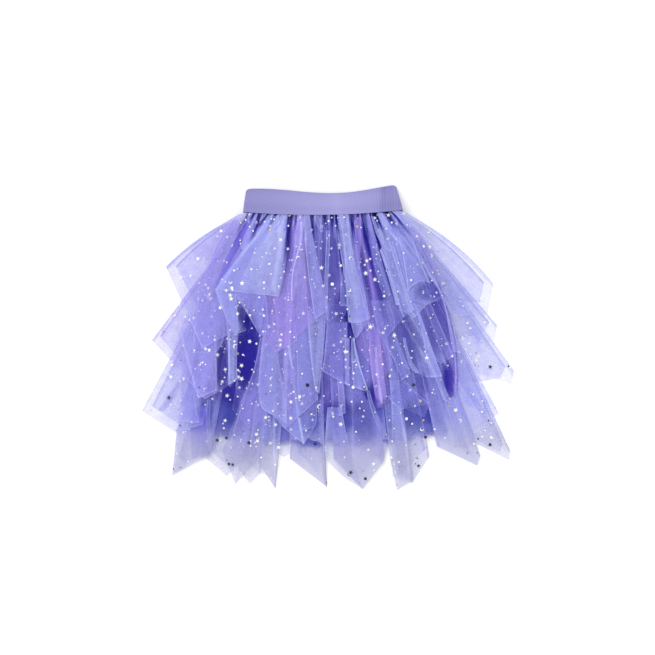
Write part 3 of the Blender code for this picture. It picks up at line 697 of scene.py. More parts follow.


# %% [markdown]
# ## Laps
# Within its points the tulle is laid over itself in long laps. A lap is a narrow wedge of cloth with
# two crisp edges that runs down from a gather. Where laps meet, the skirt is pale, and between them
# it is dark. The main ones are read off the photo, each as its left edge and its right edge, and laid
# a little above their own tier. A lap is a ruled surface: s runs from edge to edge, and t down. Each
# edge is a chain of spots, written as x, y, x, y. A lap may drop into a curved hem, or fade downwards.
# Each lap is painted paler along its edges, as painted highlights, and a little darker across towards its
# right edge, as painted shade.

# %% Laps
Lap = namedtuple("Lap", "pale violet dense left right drop fade", defaults=(0, 0))
LAPS = {
    "1": named(Lap, (
        (.75, .2, 1.2, (-72, -4, -86, -31, -116, -66, -138, -98), (-58, -4, -82, -42, -108, -76, -132, -103)),
        (.80, .0, 1.4, (-138, -99, -128, -126, -114, -157), (-112, -104, -110, -125, -109, -157)),
        (.50, .3, 1.5, (-113, -103, -98, -128, -81, -157), (-73, -106, -71, -130, -70, -156)),
        (.85, .6, 1.0, (-110, -1, -132, -20, -168, -58), (-93, -1, -112, -14, -140, -56)),
        # This lap is painted shade: a dense, dark blue-violet sheet laid where the skirt lies in shadow.
        (.06, .55, 2.5, (-99, -8, -119, -42, -142, -98), (-92, -8, -105, -34, -121, -72)),
        (.65, .7, 0.9, (-88, -6, -104, -36, -120, -68), (-84, -10, -95, -34, -112, -62)),
        (.25, .8, 1.4, (-116, -8, -140, -45, -156, -100), (-104, -10, -128, -45, -147, -100)),
        # These two laps down x = -31 are painted pale and violet as the satin lining's highlight seen through
        # the tulle: a painted reflection on real laps of cloth.
        (.85, .9, 2.0, (-37, 0, -36, -40, -42, -75, -50, -125),
         (-26, 0, -27, -38, -34, -70, -36, -125), 0, 1),
        (1., .5, 3.0, (-31, 0, -31, -40, -38, -66, -41, -112), (-28.5, 0, -28.5, -40, -36, -66, -39, -112)),
        (.80, .1, 1.4, (-24, -2, -22, -50, -16, -100, -10, -136), (-17, -2, -9, -50, 2, -100, 6, -125)),
        (.75, .1, 1.3, (4, -22, 3, -60, 2, -90, 5, -138), (9, -22, 8, -60, 6.5, -95, 7, -138)),
        (.95, .1, 1.8, (20, 0, 27, -40, 29, -80, 33, -140), (33, 0, 38, -50, 48, -95, 59, -136), 3),
        (.60, .1, 1.0, (29, -68, 24, -85, 22, -119), (30, -72, 30.5, -90, 31, -119)),
        (.50, .5, 2.4, (51, -3, 57, -30, 65, -60), (60, -3, 68, -30, 77, -60), 0, 1),
        (.55, 1., 1.2, (40, -10, 43, -45, 46, -72), (48, -4, 49, -30, 47, -72)),
        (.75, .1, 1.3, (74, -46, 84, -78, 98, -120, 104, -132), (84, -30, 97, -70, 108, -100, 118, -124)),
        (1., .0, 2.2, (73, -47, 83, -78, 94, -118), (75, -46, 87, -78, 99, -118)),
        (.95, .0, 1.6, (84, -36, 95, -70, 104, -100, 113, -128), (90, -36, 100, -70, 109, -100, 117, -124)),
        (.85, .2, 1.2, (62, -4, 67, -22, 72, -33, 86, -50), (65, -4, 71, -20, 77, -31, 90, -44)),
        (.95, .3, 1.4, (88, 2, 104, -12, 120, -34), (98, 3, 114, -10, 130, -32)),
        (.60, .8, 1.0, (108, -16, 122, -40, 140, -75), (118, -17, 138, -44, 146, -72)),
        (1., .2, 1.6, (123, -22, 134, -40, 140, -60), (126, -22, 137, -40, 143, -60)),
        (.90, .1, 1.4, (116, -36, 120, -52, 135, -88), (118, -36, 122.5, -52, 138, -90)),
        (.72, .1, 1.5, (97, -30, 104, -62, 109, -100), (116, -30, 124, -58, 139, -90), -7),
        (.85, .1, 1.2, (100, -28, 128, -66, 153, -102), (102, -28, 131, -66, 158, -104)),
        (.70, .4, 1.2, (33, -118, 36, -140, 41, -160), (52, -118, 60, -134, 50, -150), 3),
        (.45, .2, 0.5, (6, -116, 6, -128, 6, -138), (30, -116, 30, -126, 24, -136), 2),
        (.75, .5, 1.2, (-11, -1, -9, -12, -3, -24), (-5, -1, -3, -12, 1, -24)),
    )),
    "2": named(Lap, (
        (.85, .0, 1.9, (-134, -104, -124, -145, -122, -185, -121, -221),
         (-114, -108, -110, -150, -111, -190, -109, -212)),
        (1., .0, 2.0, (-123, -150, -122, -185, -122, -221), (-120, -150, -119.5, -185, -119.5, -219)),
        (.70, .5, 1.4, (-186, -150, -176, -190, -160, -238), (-140, -112, -137, -170, -137, -228)),
        (.60, .3, 1.1, (-160, -100, -166, -140, -168, -180), (-136, -108, -126, -150, -137, -178)),
        (.70, .9, 1.5, (-64, -106, -60, -140, -58, -178), (-40, -100, -37, -130, -33, -164)),
        (1., .3, 2.0, (-44, -108, -43, -135, -45, -165, -40, -200),
         (-42, -108, -40.5, -135, -42, -165, -37.5, -200)),
        (.90, .0, 1.8, (-20, -126, -18, -160, -15, -190, -10, -228), (6, -104, 3, -145, -1, -190, -5, -232)),
        (.50, .4, 1.2, (5, -140, 3, -170, -1, -203), (31, -140, 32, -180, 33, -222)),
        (.80, .4, 1.2, (28, -160, 29, -190, 29, -219), (34, -160, 34, -190, 34, -223)),
        (.75, .1, 1.3, (37, -160, 37, -190, 40, -224), (40, -160, 48, -195, 58, -230)),
        (1., .1, 1.8, (39, -160, 43, -187, 51, -212, 59, -236), (40.5, -160, 45, -187, 53, -212, 61, -236)),
        # These two laps near x = 60 to 86 are real laps whose pale lilac colour partly paints the satin
        # lining's shine seen through the tulle: a painted reflection.
        (.75, 1., 1.8, (58, -138, 60, -180, 64, -215, 72, -258), (72, -150, 76, -185, 80, -220, 86, -258)),
        (1., .6, 2.2, (66, -172, 67.5, -190, 70, -215, 75, -248), (69, -172, 70.5, -190, 73, -215, 78, -248)),
        (.60, .1, 1.2, (62, -112, 70, -145, 78, -166), (84, -112, 92, -136, 91, -150)),
        (.60, .4, 1.2, (76, -166, 84, -200, 88, -240), (84, -172, 92, -215, 96, -236)),
        (.55, .1, 1.2, (78, -166, 90, -186, 102, -215), (92, -152, 103, -180, 113, -206)),
        (.90, .0, 1.8, (109, -108, 124, -138, 132, -175, 140, -212),
         (119, -116, 129, -142, 141, -175, 154, -210)),
        (.85, .0, 1.3, (103, -160, 110, -190, 120, -206), (106, -160, 113, -186, 124, -204)),
        (.35, .3, 1.0, (120, -90, 115, -100, 113, -112), (136, -87, 152, -97, 158, -110), 3),
        (.85, .2, 1.3, (156, -108, 163, -150, 168, -178), (160, -106, 170, -150, 178, -180)),
    )),
    "3": named(Lap, (
        (.85, .0, 1.8, (-76, -130, -78, -165, -83, -215, -78, -252),
         (-61, -130, -60, -170, -52, -220, -46, -272)),
        (.60, .1, 1.3, (-36, -160, -33, -200, -32, -240, -28, -280),
         (-17, -150, -13, -200, -8, -250, -12, -276)),
        (.60, 1., 1.3, (-50, -165, -50, -200, -46, -255), (-38, -162, -36, -200, -40, -250)),
        (1., .1, 1.8, (-36, -238, -32, -265, -27, -294), (-34, -238, -30, -265, -25, -294)),
        (.80, .5, 1.2, (18, -210, 20, -235, 21, -262), (25, -210, 28, -235, 29, -257)),
        (.45, .1, 1.0, (84, -236, 94, -248, 104, -252), (106, -215, 122, -232, 138, -245)),
        (.85, .1, 1.6, (131, -180, 142, -205, 155, -240), (143, -180, 152, -206, 166, -246)),
        (.80, .1, 0.7, (176, -150, 196, -196, 210, -240), (196, -150, 212, -196, 226, -256)),
        (.75, .4, 1.0, (-180, -180, -186, -225, -184, -268), (-168, -180, -166, -225, -160, -270)),
    )),
    "4": named(Lap, (
        (.10, .2, 3.0, (-168, -250, -172, -280, -170, -318), (-150, -250, -150, -285, -146, -312)),
        (.55, .5, 1.4, (-81, -160, -89, -200, -99, -228, -126, -312),
         (-78, -160, -82, -205, -86, -250, -88, -326)),
        (.75, .1, 1.2, (-86, -240, -92, -280, -97, -326), (-70, -240, -66, -290, -64, -344)),
        (.70, .2, 1.2, (-182, -225, -190, -280, -194, -334), (-170, -225, -176, -280, -178, -328)),
        (.60, .2, 0.9, (-150, -240, -150, -280, -148, -318), (-145, -240, -146, -280, -143, -316)),
        (.75, .2, 1.1, (-44, -250, -43, -290, -42, -316), (-30, -250, -30, -290, -24, -328)),
        (.60, .1, 1.0, (-8, -240, -5, -270, -3, -330), (-3, -240, 0, -280, 3, -348)),
        (.70, .3, 1.2, (56, -228, 64, -258, 78, -292), (60, -228, 70, -258, 86, -292)),
        (.80, .1, 1.4, (86, -215, 89, -262, 90, -340), (98, -215, 102, -262, 108, -346)),
        (.60, .1, 2.2, (150, -225, 162, -255, 176, -300), (158, -225, 174, -262, 192, -312)),
        (.55, .2, 2.6, (6, -250, 3, -290, 3, -316), (24, -250, 36, -310, 50, -354), 5),
        (.50, .1, 1.4, (184, -225, 204, -262, 228, -300), (190, -225, 214, -262, 238, -300)),
    )),
}
LAP_LIFT = 0.9
LAP_STEP = 0.02
LAP_COLUMNS = 10
LAP_ROWS = 26
LAP_HEM_THIN = 0.3
LAP_HEM_ZONE = (250, 330)
WAIST_REACH = 99
WAIST_LAPS = 36


def chain(spots, t):
    """Places along a chain of spots: a curve of its own degree through all of them, by share."""
    spots = np.reshape(spots, (-1, 2)).astype(float)
    stops = np.linspace(0, 1, len(spots))
    curves = [np.polyval(np.polyfit(stops, spots[:, axis], len(spots) - 1), t) for axis in (0, 1)]
    return np.stack(curves, axis=-1)


def waist_laps(rng, count):
    """Short laps fanned out along the waist: each starts in a gather and leans outwards."""
    made = []
    for k in range(count):
        x = -WAIST_REACH + 2 * WAIST_REACH * (k + rng.uniform(0.2, 0.8)) / count
        long = rng.uniform(14, 46)
        top, low = rng.uniform(1.4, 2.8), rng.uniform(2.5, 5.5)
        end = x * 1.02 + (x / 100 * 0.62 + rng.normal(0, 0.05)) * long
        pale, violet = rng.uniform(0.55, 0.95), rng.uniform(0, 0.7)
        middle = 0.55 * x + 0.45 * end
        left, right = [
            (x + sign * top / 2, -0.5, middle + sign * top * 0.7, -0.5 * long, end + sign * low * 0.35, -long)
            for sign in (-1, 1)
        ]
        made.append(Lap(pale, violet, 1.2, left, right, 0, 1))
    return made


def lap_part(lap, tier, order):
    """Blend of the left and right edge by s. Height is the tier's map, plus the lap's own lift."""
    front = "front" in tier.name
    s, t = np.meshgrid(np.linspace(0, 1, LAP_COLUMNS + 1), np.linspace(0, 1, LAP_ROWS + 1))
    left, right = chain(lap.left, t), chain(lap.right, t)
    flat = left + (right - left) * s[..., None]
    x = flat[..., 0] if front else -0.9 * flat[..., 0]
    y = flat[..., 1] - lap.drop * 4 * s * (1 - s) * t ** 3
    y = y if front else 0.85 * y
    depth = np.clip(seam_y(x) - y, 0, None)
    y = y + TUCK * np.exp(-depth / 6)
    wide = np.linalg.norm(right - left, axis=-1)
    rim = ridge(np.minimum(s, 1 - s) * wide, 0.8) + (1 - lap.fade) * ridge((1 - t) * 60, 1.0)
    height = look_up(HEIGHTS[tier.name], x + ORIGIN[0], y + ORIGIN[1]) - WALL / 2
    lift = LAP_STEP * order + (LAP_LIFT + 1.4 * np.exp(-depth / GATHERS_FADE) if front else 0.3)
    dense = lap.dense * (0.8 + 0.2 * np.sin(9 * s + 4 * t)) + 0.9 * rim
    dense = dense * (1 - LAP_HEM_THIN * zone(depth, *LAP_HEM_ZONE)) * (1 - lap.fade * t ** 2)
    dense = dense * (1 - 0.85 * lap.fade * gap_share(x, depth)) * side_share(x, y)
    # Paleness: the lap's own tone, a painted highlight along its edges, and painted shade growing across it
    # towards its right edge.
    pale = lap.pale + 0.3 * rim - 0.15 * s
    look = np.dstack([dense, pale, np.full_like(x, lap.violet), hem_grey(tier.level, depth)])
    places = np.dstack([x, y, np.maximum(height + lift, LOWEST)])
    return {
        "places": places,
        "look": np.clip(look, 0, MOST_LOOK),
        "uv": np.dstack([s * wide * MM, -depth * MM]),
        "upwards": front,
        "main": places,
    }


# %% Put the tiers together
FRONT_GRID = (34, 60)
BACK_GRID = (20, 40)
SURFACES = {}
TULLE = []
for tier in TIERS:
    grid = FRONT_GRID if "front" in tier.name else BACK_GRID
    laps = list(LAPS[tier.level])
    if tier.level == "1":
        laps += waist_laps(np.random.default_rng(5), WAIST_LAPS)
    parts = [tier_part(tier, k, point, *grid) for k, point in enumerate(tier.points)]
    parts += [lap_part(lap, tier, k) for k, lap in enumerate(laps)]
    SURFACES[tier.name] = parts
    piece = make_piece(tier.name.replace("tulle", "sheer"), parts)
    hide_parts(tier.name)
    TULLE.append(piece)

# %% [markdown]
# ## Net underskirt and satin lining
# Both are wide, plain halves with an even hem. The satin has broad, deep folds that catch the light,
# so its folds are listed: where each leaves the waist, where it meets the hem, how wide it is. That
# light is painted: on both cloths the fold ridges are painted paler and the valleys darker, as painted
# light and shade, and the satin's ridges carry a painted shine.

# %% Inner skirts
Panel = namedtuple("Panel", "name left_x left_y drop right_x right_y slot bulge")
Fold = namedtuple("Fold", "waist_x hem_x width height")
PANELS = named(Panel, (
    ("underskirt_back", -168, -268, 12, 154, -272, "net", 0),
    ("lining_back", -170, -228, 23, 166, -226, "satin", 0),
    ("lining_front", -178, -237, 22, 175, -235, "satin", 24),
    ("underskirt_front", -177, -280, 20, 162, -286, "net", 10),
))
FOLDS = named(Fold, (
    (-90, -158, 9, 0.9), (-78, -136, 5, 0.5), (-62, -78, 9, 0.95), (-38, -50, 7, 0.9), (-24, -22, 6, 0.7),
    (-8, -6, 4, 0.4), (8, 20, 5, 0.5), (40, 74, 9, 0.95), (60, 104, 5, 0.5), (78, 134, 5, 0.6),
    (88, 166, 8, 0.45), (93, 173, 1.8, 1.4),
))

PANEL_DENSE = 2.0
NET_OVER_LINING = 0.20
NET_BARE = 3.2
NET_BARE_ZONE = (0.82, 0.88)
NET_FRAY = 9 / 260
CAUGHT_ROWS = 4
CAUGHT_TOP = 23.0
CAUGHT_DEEP = 1.5


def panel_part(panel, columns=110, rows=70):
    """Sides straight from waist to corner, hem a parabola, folds as soft ridges down the cloth.

    The net is thin where it lies over the lining and fuller below the lining's hem, and frays out.
    The front lining's upper edge is caught in the band: it rises there to the band's front wall.
    """
    front = "front" in panel.name
    s, t = np.meshgrid(np.linspace(0, 1, columns + 1), np.linspace(0, 1, rows + 1))
    waist_x = (2 * s - 1) * HALF_SEAM
    hem_x = panel.left_x + (panel.right_x - panel.left_x) * s
    hem_y = panel.left_y + (panel.right_y - panel.left_y) * s - panel.drop * 4 * s * (1 - s)
    hem_y = hem_y + 2.0 * np.sin(hem_x / 9.0) + 1.2 * np.sin(hem_x / 3.7)
    x = waist_x + (hem_x - waist_x) * t
    y = seam_y(waist_x) + TUCK + (hem_y - seam_y(waist_x) - TUCK) * t
    fold = np.zeros_like(x)
    for row in FOLDS:
        line = row.waist_x + (row.hem_x - row.waist_x) * t
        fold += row.height * ridge(x - line, row.width * (0.35 + 0.65 * t))
    x = x + panel.bulge * 4 * t * (1 - t) * (s ** 2 - 0.4 * (1 - s) ** 2)
    wave, fade = gathers(waist_x, seam_y(x) - y)
    z = look_up(HEIGHTS[panel.name], x + ORIGIN[0], y + ORIGIN[1]) - WALL / 2
    if front:
        z = z + 0.9 * (fold + wave * fade)
    squeeze = CUT_SPARE * (panel.right_x - panel.left_x) / (x[:, -1:] - x[:, :1])
    dense = np.minimum(squeeze, PANEL_DENSE) + 0.4 * fold
    if panel.slot == "net":
        dense = dense * (NET_OVER_LINING + NET_BARE * zone(t, *NET_BARE_ZONE)) * zone(1 - t, 0, NET_FRAY)
    # The fold height goes to the material, which paints the fold ridges paler and the valleys darker: painted
    # light and shade.
    look = np.dstack([dense, fold, np.zeros_like(x), np.zeros_like(x)])
    cut = np.dstack([hem_x * CUT_SPARE * MM, y * MM])
    places = np.dstack([x, y, z])
    if panel.name == "lining_front":
        rise = np.linspace(1, 0, CAUGHT_ROWS, endpoint=False)[:, None]
        caught = places[:1] + np.dstack([0 * rise, CAUGHT_DEEP * rise, 0 * rise])
        caught[..., 2] += (CAUGHT_TOP - places[:1, :, 2]) * rise
        places = np.concatenate([caught, places])
        look = np.concatenate([np.repeat(look[:1], CAUGHT_ROWS, axis=0), look])
        cut = np.concatenate([np.repeat(cut[:1], CAUGHT_ROWS, axis=0), cut])
    return {"places": places, "look": np.clip(look, 0, MOST_LOOK), "uv": cut, "upwards": front}


INNER = []
for panel in PANELS:
    piece = make_piece("soft_" + panel.name, [panel_part(panel)])
    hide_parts(panel.name)
    INNER.append(piece)

# %% [markdown]
# ## The elastic waistband
# A band of ribbed elastic, 30 mm wide, is sewn into a ring. Lying flat it is a squashed tube: fat at
# its lower edge, where all the layers are caught, and nearly closed at its upper edge. It is drawn as
# one closed loop of columns. The upper edge follows a curve through heights read off the photo.

# %% Waistband
BAND_WALL = 1.5
BAND_HALF_LOW = 103.5
BAND_HALF_TOP = 97.5
BAND_TALL = 30
BAND_SQUARE = 16
BAND_THICK = 10
BAND_THIN = 8.8
CORNER = 3.5
CORNER_FROM = 0.87
TOP_SPOTS = ((-100, 31.9), (-94, 34.3), (-54, 31.4), (-24, 29.2), (13, 28.8), (28, 27.6),
             (51, 30.0), (73, 35.2), (88, 38.2), (95, 37.4))
# Painted light and shade across the band: darker towards both ends and in a crease near the right end,
# lightest near x = 19.
BAND_PAINTED_SHADING = ((-104, .15), (-60, .35), (-20, .60), (10, .72), (19, .85), (30, .70), (60, .50),
             (73, .40), (80, .05), (87, .00), (93, .15), (98, .10))
TOP_CURVE = np.polyfit(*zip(*TOP_SPOTS), 5)


def band_part(columns=480, rows=26):
    """Around: x = half width times cos, z = middle + half thickness times (1 - |cos|^16)^(1/16)."""
    turn, climb = np.meshgrid(np.linspace(0, 2 * math.pi, columns + 1), np.linspace(1, 0, rows + 1))
    cosine, sine = np.cos(turn), np.sin(turn)
    half_wide = BAND_HALF_LOW + (BAND_HALF_TOP - BAND_HALF_LOW) * climb - 0.2
    corner = np.clip((climb - CORNER_FROM) / (1 - CORNER_FROM), 0, 1)
    half_wide = half_wide - CORNER * (1 - np.sqrt(1 - corner ** 2))
    thick = BAND_THICK - BAND_THIN * zone(climb, 0.27, 1) + 0.8 * ridge(climb, 0.12)
    x = -2.5 * climb + half_wide * cosine
    low = seam_y(x * HALF_SEAM / BAND_HALF_LOW)
    y = low + (np.polyval(TOP_CURVE, np.clip(x, -100, 95)) - low) * climb
    flat = np.sign(sine) * (1 - np.abs(cosine) ** BAND_SQUARE) ** (1 / BAND_SQUARE)
    z = BAND_WALL + thick + (thick + BAND_WALL - 0.15) * flat
    front = (sine > 0) * climb ** 0.5
    z = z - front * (0.8 * ridge(x - 77, 5) - 0.8 * ridge(x - 86, 5) - 0.5 * ridge(x - 19, 6))
    z = z + front * 0.25 * np.sin(x / 11.0) * np.sin(climb * 3)
    steps = np.hypot(np.diff(x[-1], prepend=x[-1, :1]), np.diff(z[-1], prepend=z[-1, :1]))
    around = np.broadcast_to(np.cumsum(steps), x.shape)
    # The painted light and shade across the band, darkened further along the crease at x = 77 as painted
    # shade.
    painted_shading = np.interp(x, *zip(*BAND_PAINTED_SHADING)) - 0.22 * ridge(x - 77 - 4 * (climb - 0.5), 4)
    look = np.dstack([np.zeros_like(x), painted_shading, np.zeros_like(x), np.zeros_like(x)])
    uv = np.dstack([around * MM, climb * BAND_TALL * MM])
    return {"places": np.dstack([x, y, z]), "look": look, "uv": uv, "upwards": False}


band = make_piece("elastic_waistband", [band_part()])
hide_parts("waistband_front", "waistband_back")

# %% [markdown]
# ## Foil stars, dots and crescents
# The tulle is printed with small pieces of foil. Most look silver, some dark, and a few amber. The
# dark ones are silver foil painted dark, as painted shade on the foil's shine. They are strewn by
# chance over each point's own surface, a fixed number for each square decimetre, and the larger ones
# that stand out in the photo are placed one by one. Each is one flat face, turned to lie on the cloth
# just under it.

# %% Foil shapes
STAR_INNER = 0.38


def ring(count, radius, phase=0.0):
    """Corners of a regular shape around the origin."""
    turn = np.linspace(0, 2 * math.pi, count, endpoint=False) + phase
    return np.column_stack([radius * np.cos(turn), radius * np.sin(turn)])


def star_outline():
    """Five arms: every other corner of ten lies at the inner share of the radius."""
    corners = ring(10, 1.0, math.pi / 2)
    corners[1::2] *= STAR_INNER
    return corners


def crescent_outline():
    """Half a circle and a flatter arc back, shifted to one side."""
    turn = np.linspace(-2.2, 2.2, 7)
    outer = np.column_stack([np.cos(turn), np.sin(turn)])
    back = turn[::-1][1:-1]
    inner = np.column_stack([0.85 * np.cos(back) - 0.35, 0.75 * np.sin(back)])
    return np.concatenate([outer, inner]) * [-1, 1]


OUTLINES = {"star": star_outline(), "dot": ring(8, 1.0), "moon": crescent_outline()}
Shape = namedtuple("Shape", "outline radius share")
SHAPES = named(Shape, (
    ("dot", 0.65, 0.30),
    ("dot", 0.95, 0.30),
    ("dot", 1.25, 0.18),
    ("star", 2.0, 0.12),
    ("star", 3.0, 0.07),
    ("moon", 2.2, 0.03),
))
FOIL_PER_DM2 = 19.0
FOIL_LIFT = 0.3
FOIL_LOWEST = 0.02
STANDS_OUT = 1.15
REACH = 4.0
Spot = namedtuple("Spot", "outline radius centre along normal")


def unit(vectors):
    """Each vector over its own length."""
    return vectors / np.maximum(np.linalg.norm(vectors, axis=-1, keepdims=True), 1e-9)


def facing(places):
    """Unit tangents and normals of a grid of places, from the steps to its neighbours."""
    down, across = np.gradient(places, axis=(0, 1))
    return unit(across), unit(np.cross(across, -down))


def strew(part, rng):
    """Chance spots on one part, as many as its area asks for, each with its own frame."""
    main = part["main"]
    across, normal = facing(main)
    down_step, across_step = np.linalg.norm(np.gradient(main, axis=(0, 1)), axis=-1)
    area = (across_step * down_step).ravel()
    count = rng.poisson(area.sum() / 1e4 * FOIL_PER_DM2)
    spot = rng.choice(area.size, count, p=area / area.sum())
    row = spot // main.shape[1] / main.shape[0]
    normal = normal.reshape(-1, 3)[spot] * (1 if part["upwards"] else -1)
    return main.reshape(-1, 3)[spot] + normal * FOIL_LIFT, across.reshape(-1, 3)[spot], normal, row


def foil_mesh(name, spots):
    """Lay an outline on each spot: centre + radius (outline x along, outline y sideways)."""
    places = []
    faces = []
    for spot in spots:
        outline = OUTLINES[spot.outline]
        frame_of_spot = np.array([spot.along, np.cross(spot.normal, spot.along)])
        faces.append(list(range(len(places), len(places) + len(outline))))
        places.extend(spot.centre + spot.radius * outline @ frame_of_spot)
    places = np.array(places) + [*ORIGIN, 0]
    places[:, 2] = np.maximum(places[:, 2], FOIL_LOWEST)
    mesh = bpy.data.meshes.new(name)
    mesh.from_pydata((places * MM).tolist(), [], faces)
    print(name, len(spots), "pieces of foil,", sum(len(face) - 2 for face in faces), "triangles")
    return carry(name, mesh)


# %% Foil one by one
Foil = namedtuple("Foil", "x y radius tier")
BIG_FOIL = {
    ("silver", "star"): named(Foil, (
        (-104, -90, 3.2, 1), (-68, -38, 3.0, 2), (-22, -33, 2.9, 2), (-2, -70, 3.0, 1), (23, -67, 2.2, 1),
        (55, -77, 3.2, 1), (67, -85, 2.9, 2), (108, -57, 3.0, 2), (-64, -95, 2.8, 2), (61, -146, 3.2, 1),
        (-70, -146, 2.8, 2), (-145, -110, 3.1, 2), (-156, -112, 2.2, 2), (-118, -110, 3.0, 1),
        (-146, -176, 2.9, 2), (-136, -182, 2.9, 3), (-55, -163, 3.0, 2), (-55, -170, 2.6, 2),
        (-105, -213, 3.2, 3), (-105, -196, 2.8, 3), (-126, -201, 2.6, 3), (-30, -236, 3.0, 3),
        (-74, -263, 2.9, 4), (-86, -285, 2.9, 4), (-124, -235, 2.9, 4),
        (92, -157, 3.1, 2), (29, -178, 3.1, 2), (23, -272, 3.1, 4), (172, -254, 3.2, 4),
        (134, -186, 2.8, 3), (-92, -72, 2.0, 1),
    )),
    ("silver", "dot"): named(Foil, (
        (12, -91, 2.0, 1), (108, -265, 1.9, 4), (39, -224, 1.9, 3), (-62, -45, 1.1, 1), (-88, -51, 1.0, 1),
        (-69, -65, 1.3, 1), (-78, -56, 0.8, 1), (-76, -89, 1.4, 1), (-67, -78, 0.9, 1), (-57, -94, 1.1, 1),
        (-50, -75, 1.0, 1), (-82, -108, 1.1, 1), (-117, -96, 1.7, 1), (-94, -131, 1.5, 1),
    )),
    # Dark foil here is silver foil painted dark: painted shade.
    ("dark", "star"): named(Foil, (
        (-200, -238, 3.1, 3), (-137, -293, 3.0, 4), (117, -221, 3.1, 3), (36, -335, 3.1, 4),
        (217, -198, 3.1, 3),
    )),
    ("dark", "dot"): named(Foil, (
        (-20, -221, 2.1, 3), (-10, -298, 1.8, 4), (-96, -296, 1.7, 4), (-122, -324, 1.6, 4),
        (-185, -274, 1.6, 4), (-125, -290, 1.6, 4), (133, -289, 1.8, 4), (217, -299, 1.7, 4),
        (55, -343, 1.7, 4),
    )),
    ("amber", "dot"): named(Foil, (
        (126, -242, 1.6, 3), (130, -267, 1.3, 4), (44, -17, 1.4, 1), (-68, -21, 1.4, 1),
    )),
    ("silver", "moon"): named(Foil, (
        (-113, -171, 2.6, 2), (-5, -249, 2.6, 3),
    )),
}


def spot_by_hand(foil, outline):
    """The place of one foil: over the highest spot of its tier's surface within reach of x and y."""
    found = []
    for part in SURFACES["tulle_tier_%d_front" % foil.tier]:
        main = part["main"]
        near = np.hypot(main[..., 0] - foil.x, main[..., 1] - foil.y) < REACH
        height = np.where(near, main[..., 2], -1)
        spot = np.unravel_index(height.argmax(), height.shape)
        found.append((height[spot], main, spot))
    height, main, spot = max(found, key=lambda item: item[0])
    along, normal = facing(main)
    centre = np.array([foil.x, foil.y, height]) + normal[spot] * FOIL_LIFT
    return Spot(outline, foil.radius * STANDS_OUT, centre, along[spot], normal[spot])


FOILS = {"silver": [], "dark": [], "amber": []}
for (finish, outline), rows in BIG_FOIL.items():
    FOILS[finish] += [spot_by_hand(foil, outline) for foil in rows]
    print(len(rows), finish, outline, "foils by hand")

# %% Foil by chance
# Shares of dark foil, which is silver foil painted dark as painted shade, overall and near the lower hems.
SHADOWED_SHARE = 0.06
SHADOWED_SHARE_AT_HEM = 0.45
HEM_ROWS = 0.78
AMBER_FROM = 0.972
for tier in TIERS:
    rng = np.random.default_rng(7 + tier.layer)
    for part in SURFACES[tier.name]:
        centre, along, normal, row = strew(part, rng)
        kinds = rng.choice(len(SHAPES), len(centre), p=[shape.share for shape in SHAPES])
        turns = rng.uniform(0, 2 * math.pi, len(centre))[:, None]
        luck = rng.uniform(0, 1, len(centre))
        turned = along * np.cos(turns) + np.cross(normal, along) * np.sin(turns)
        at_hem = (row > HEM_ROWS) & (tier.level in "34")
        # Which foils are painted dark, as painted shade on silver foil.
        dark = luck < np.where(at_hem, SHADOWED_SHARE_AT_HEM, SHADOWED_SHARE)
        for k, kind in enumerate(kinds):
            finish = "dark" if dark[k] else "amber" if luck[k] > AMBER_FROM else "silver"
            size = SHAPES[kind].radius * (0.85 + 0.3 * luck[k])
            FOILS[finish].append(Spot(SHAPES[kind].outline, size, centre[k], turned[k], normal[k]))
FOIL_PIECES = {finish: foil_mesh("foil_" + finish, spots) for finish, spots in FOILS.items()}

# %% [markdown]
# ## Shader maths in Python
# A small class wraps a shader socket, so that sums and products of sockets read as plain Python.
# Every operator adds a Math node or two, and the other kinds of node come from short functions.

# %% Socket class
class Wire:
    """One output socket of a material, with Python's operators."""

    def __init__(self, tree, socket):
        self.tree = tree
        self.socket = socket

    def math(self, operation, *others):
        inputs = {0: self}
        inputs.update(enumerate(others, start=1))
        return node(self.tree, "ShaderNodeMath", {"operation": operation}, inputs)[0]

    def __add__(self, other):
        return self.math("ADD", other)

    def __sub__(self, other):
        return self.math("SUBTRACT", other)

    def __rsub__(self, other):
        return self.math("MULTIPLY_ADD", -1.0, other)

    def __mul__(self, other):
        return self.math("MULTIPLY", other)

    def __pow__(self, other):
        return self.math("POWER", other)

    def __rpow__(self, base):
        return node(self.tree, "ShaderNodeMath", {"operation": "POWER"}, {0: base, 1: self})[0]

    __radd__ = __add__
    __rmul__ = __mul__

    def held(self, low=0.0, high=1.0):
        return self.math("MAXIMUM", low).math("MINIMUM", high)

    def wave(self, period):
        """Sine with a period in the wire's own unit."""
        return (self * (2 * math.pi / period)).math("SINE")


def node(tree, kind, settings=None, inputs=None):
    """Add a node, set it up, fill its sockets, and return its outputs as wires."""
    made = tree.nodes.new(kind)
    for name, value in (settings or {}).items():
        setattr(made, name, value)
    for name, value in (inputs or {}).items():
        if isinstance(value, Wire):
            tree.links.new(value.socket, made.inputs[name])
        else:
            made.inputs[name].default_value = value
    return [Wire(tree, socket) for socket in made.outputs]


def mix_colour(tree, share, first, second):
    """Blend two colours by a share."""
    return node(tree, "ShaderNodeMix", {"data_type": "RGBA"}, {0: share, 6: first, 7: second})[2]


def noise(tree, scale, detail):
    """Noise over the object's own space, in metres."""
    place_wire = node(tree, "ShaderNodeTexCoord")[3]
    inputs = {"Vector": place_wire, "Scale": scale, "Detail": detail}
    return node(tree, "ShaderNodeTexNoise", {}, inputs)[0]


def new_material(name, **constants):
    """A material with one Principled shader, and the constants set on its own sockets."""
    material = bpy.data.materials.new(name)
    material.use_nodes = True
    skin = material.node_tree.nodes["Principled BSDF"]
    for socket, value in constants.items():
        skin.inputs[socket.replace("_", " ")].default_value = value
    return material, material.node_tree, skin


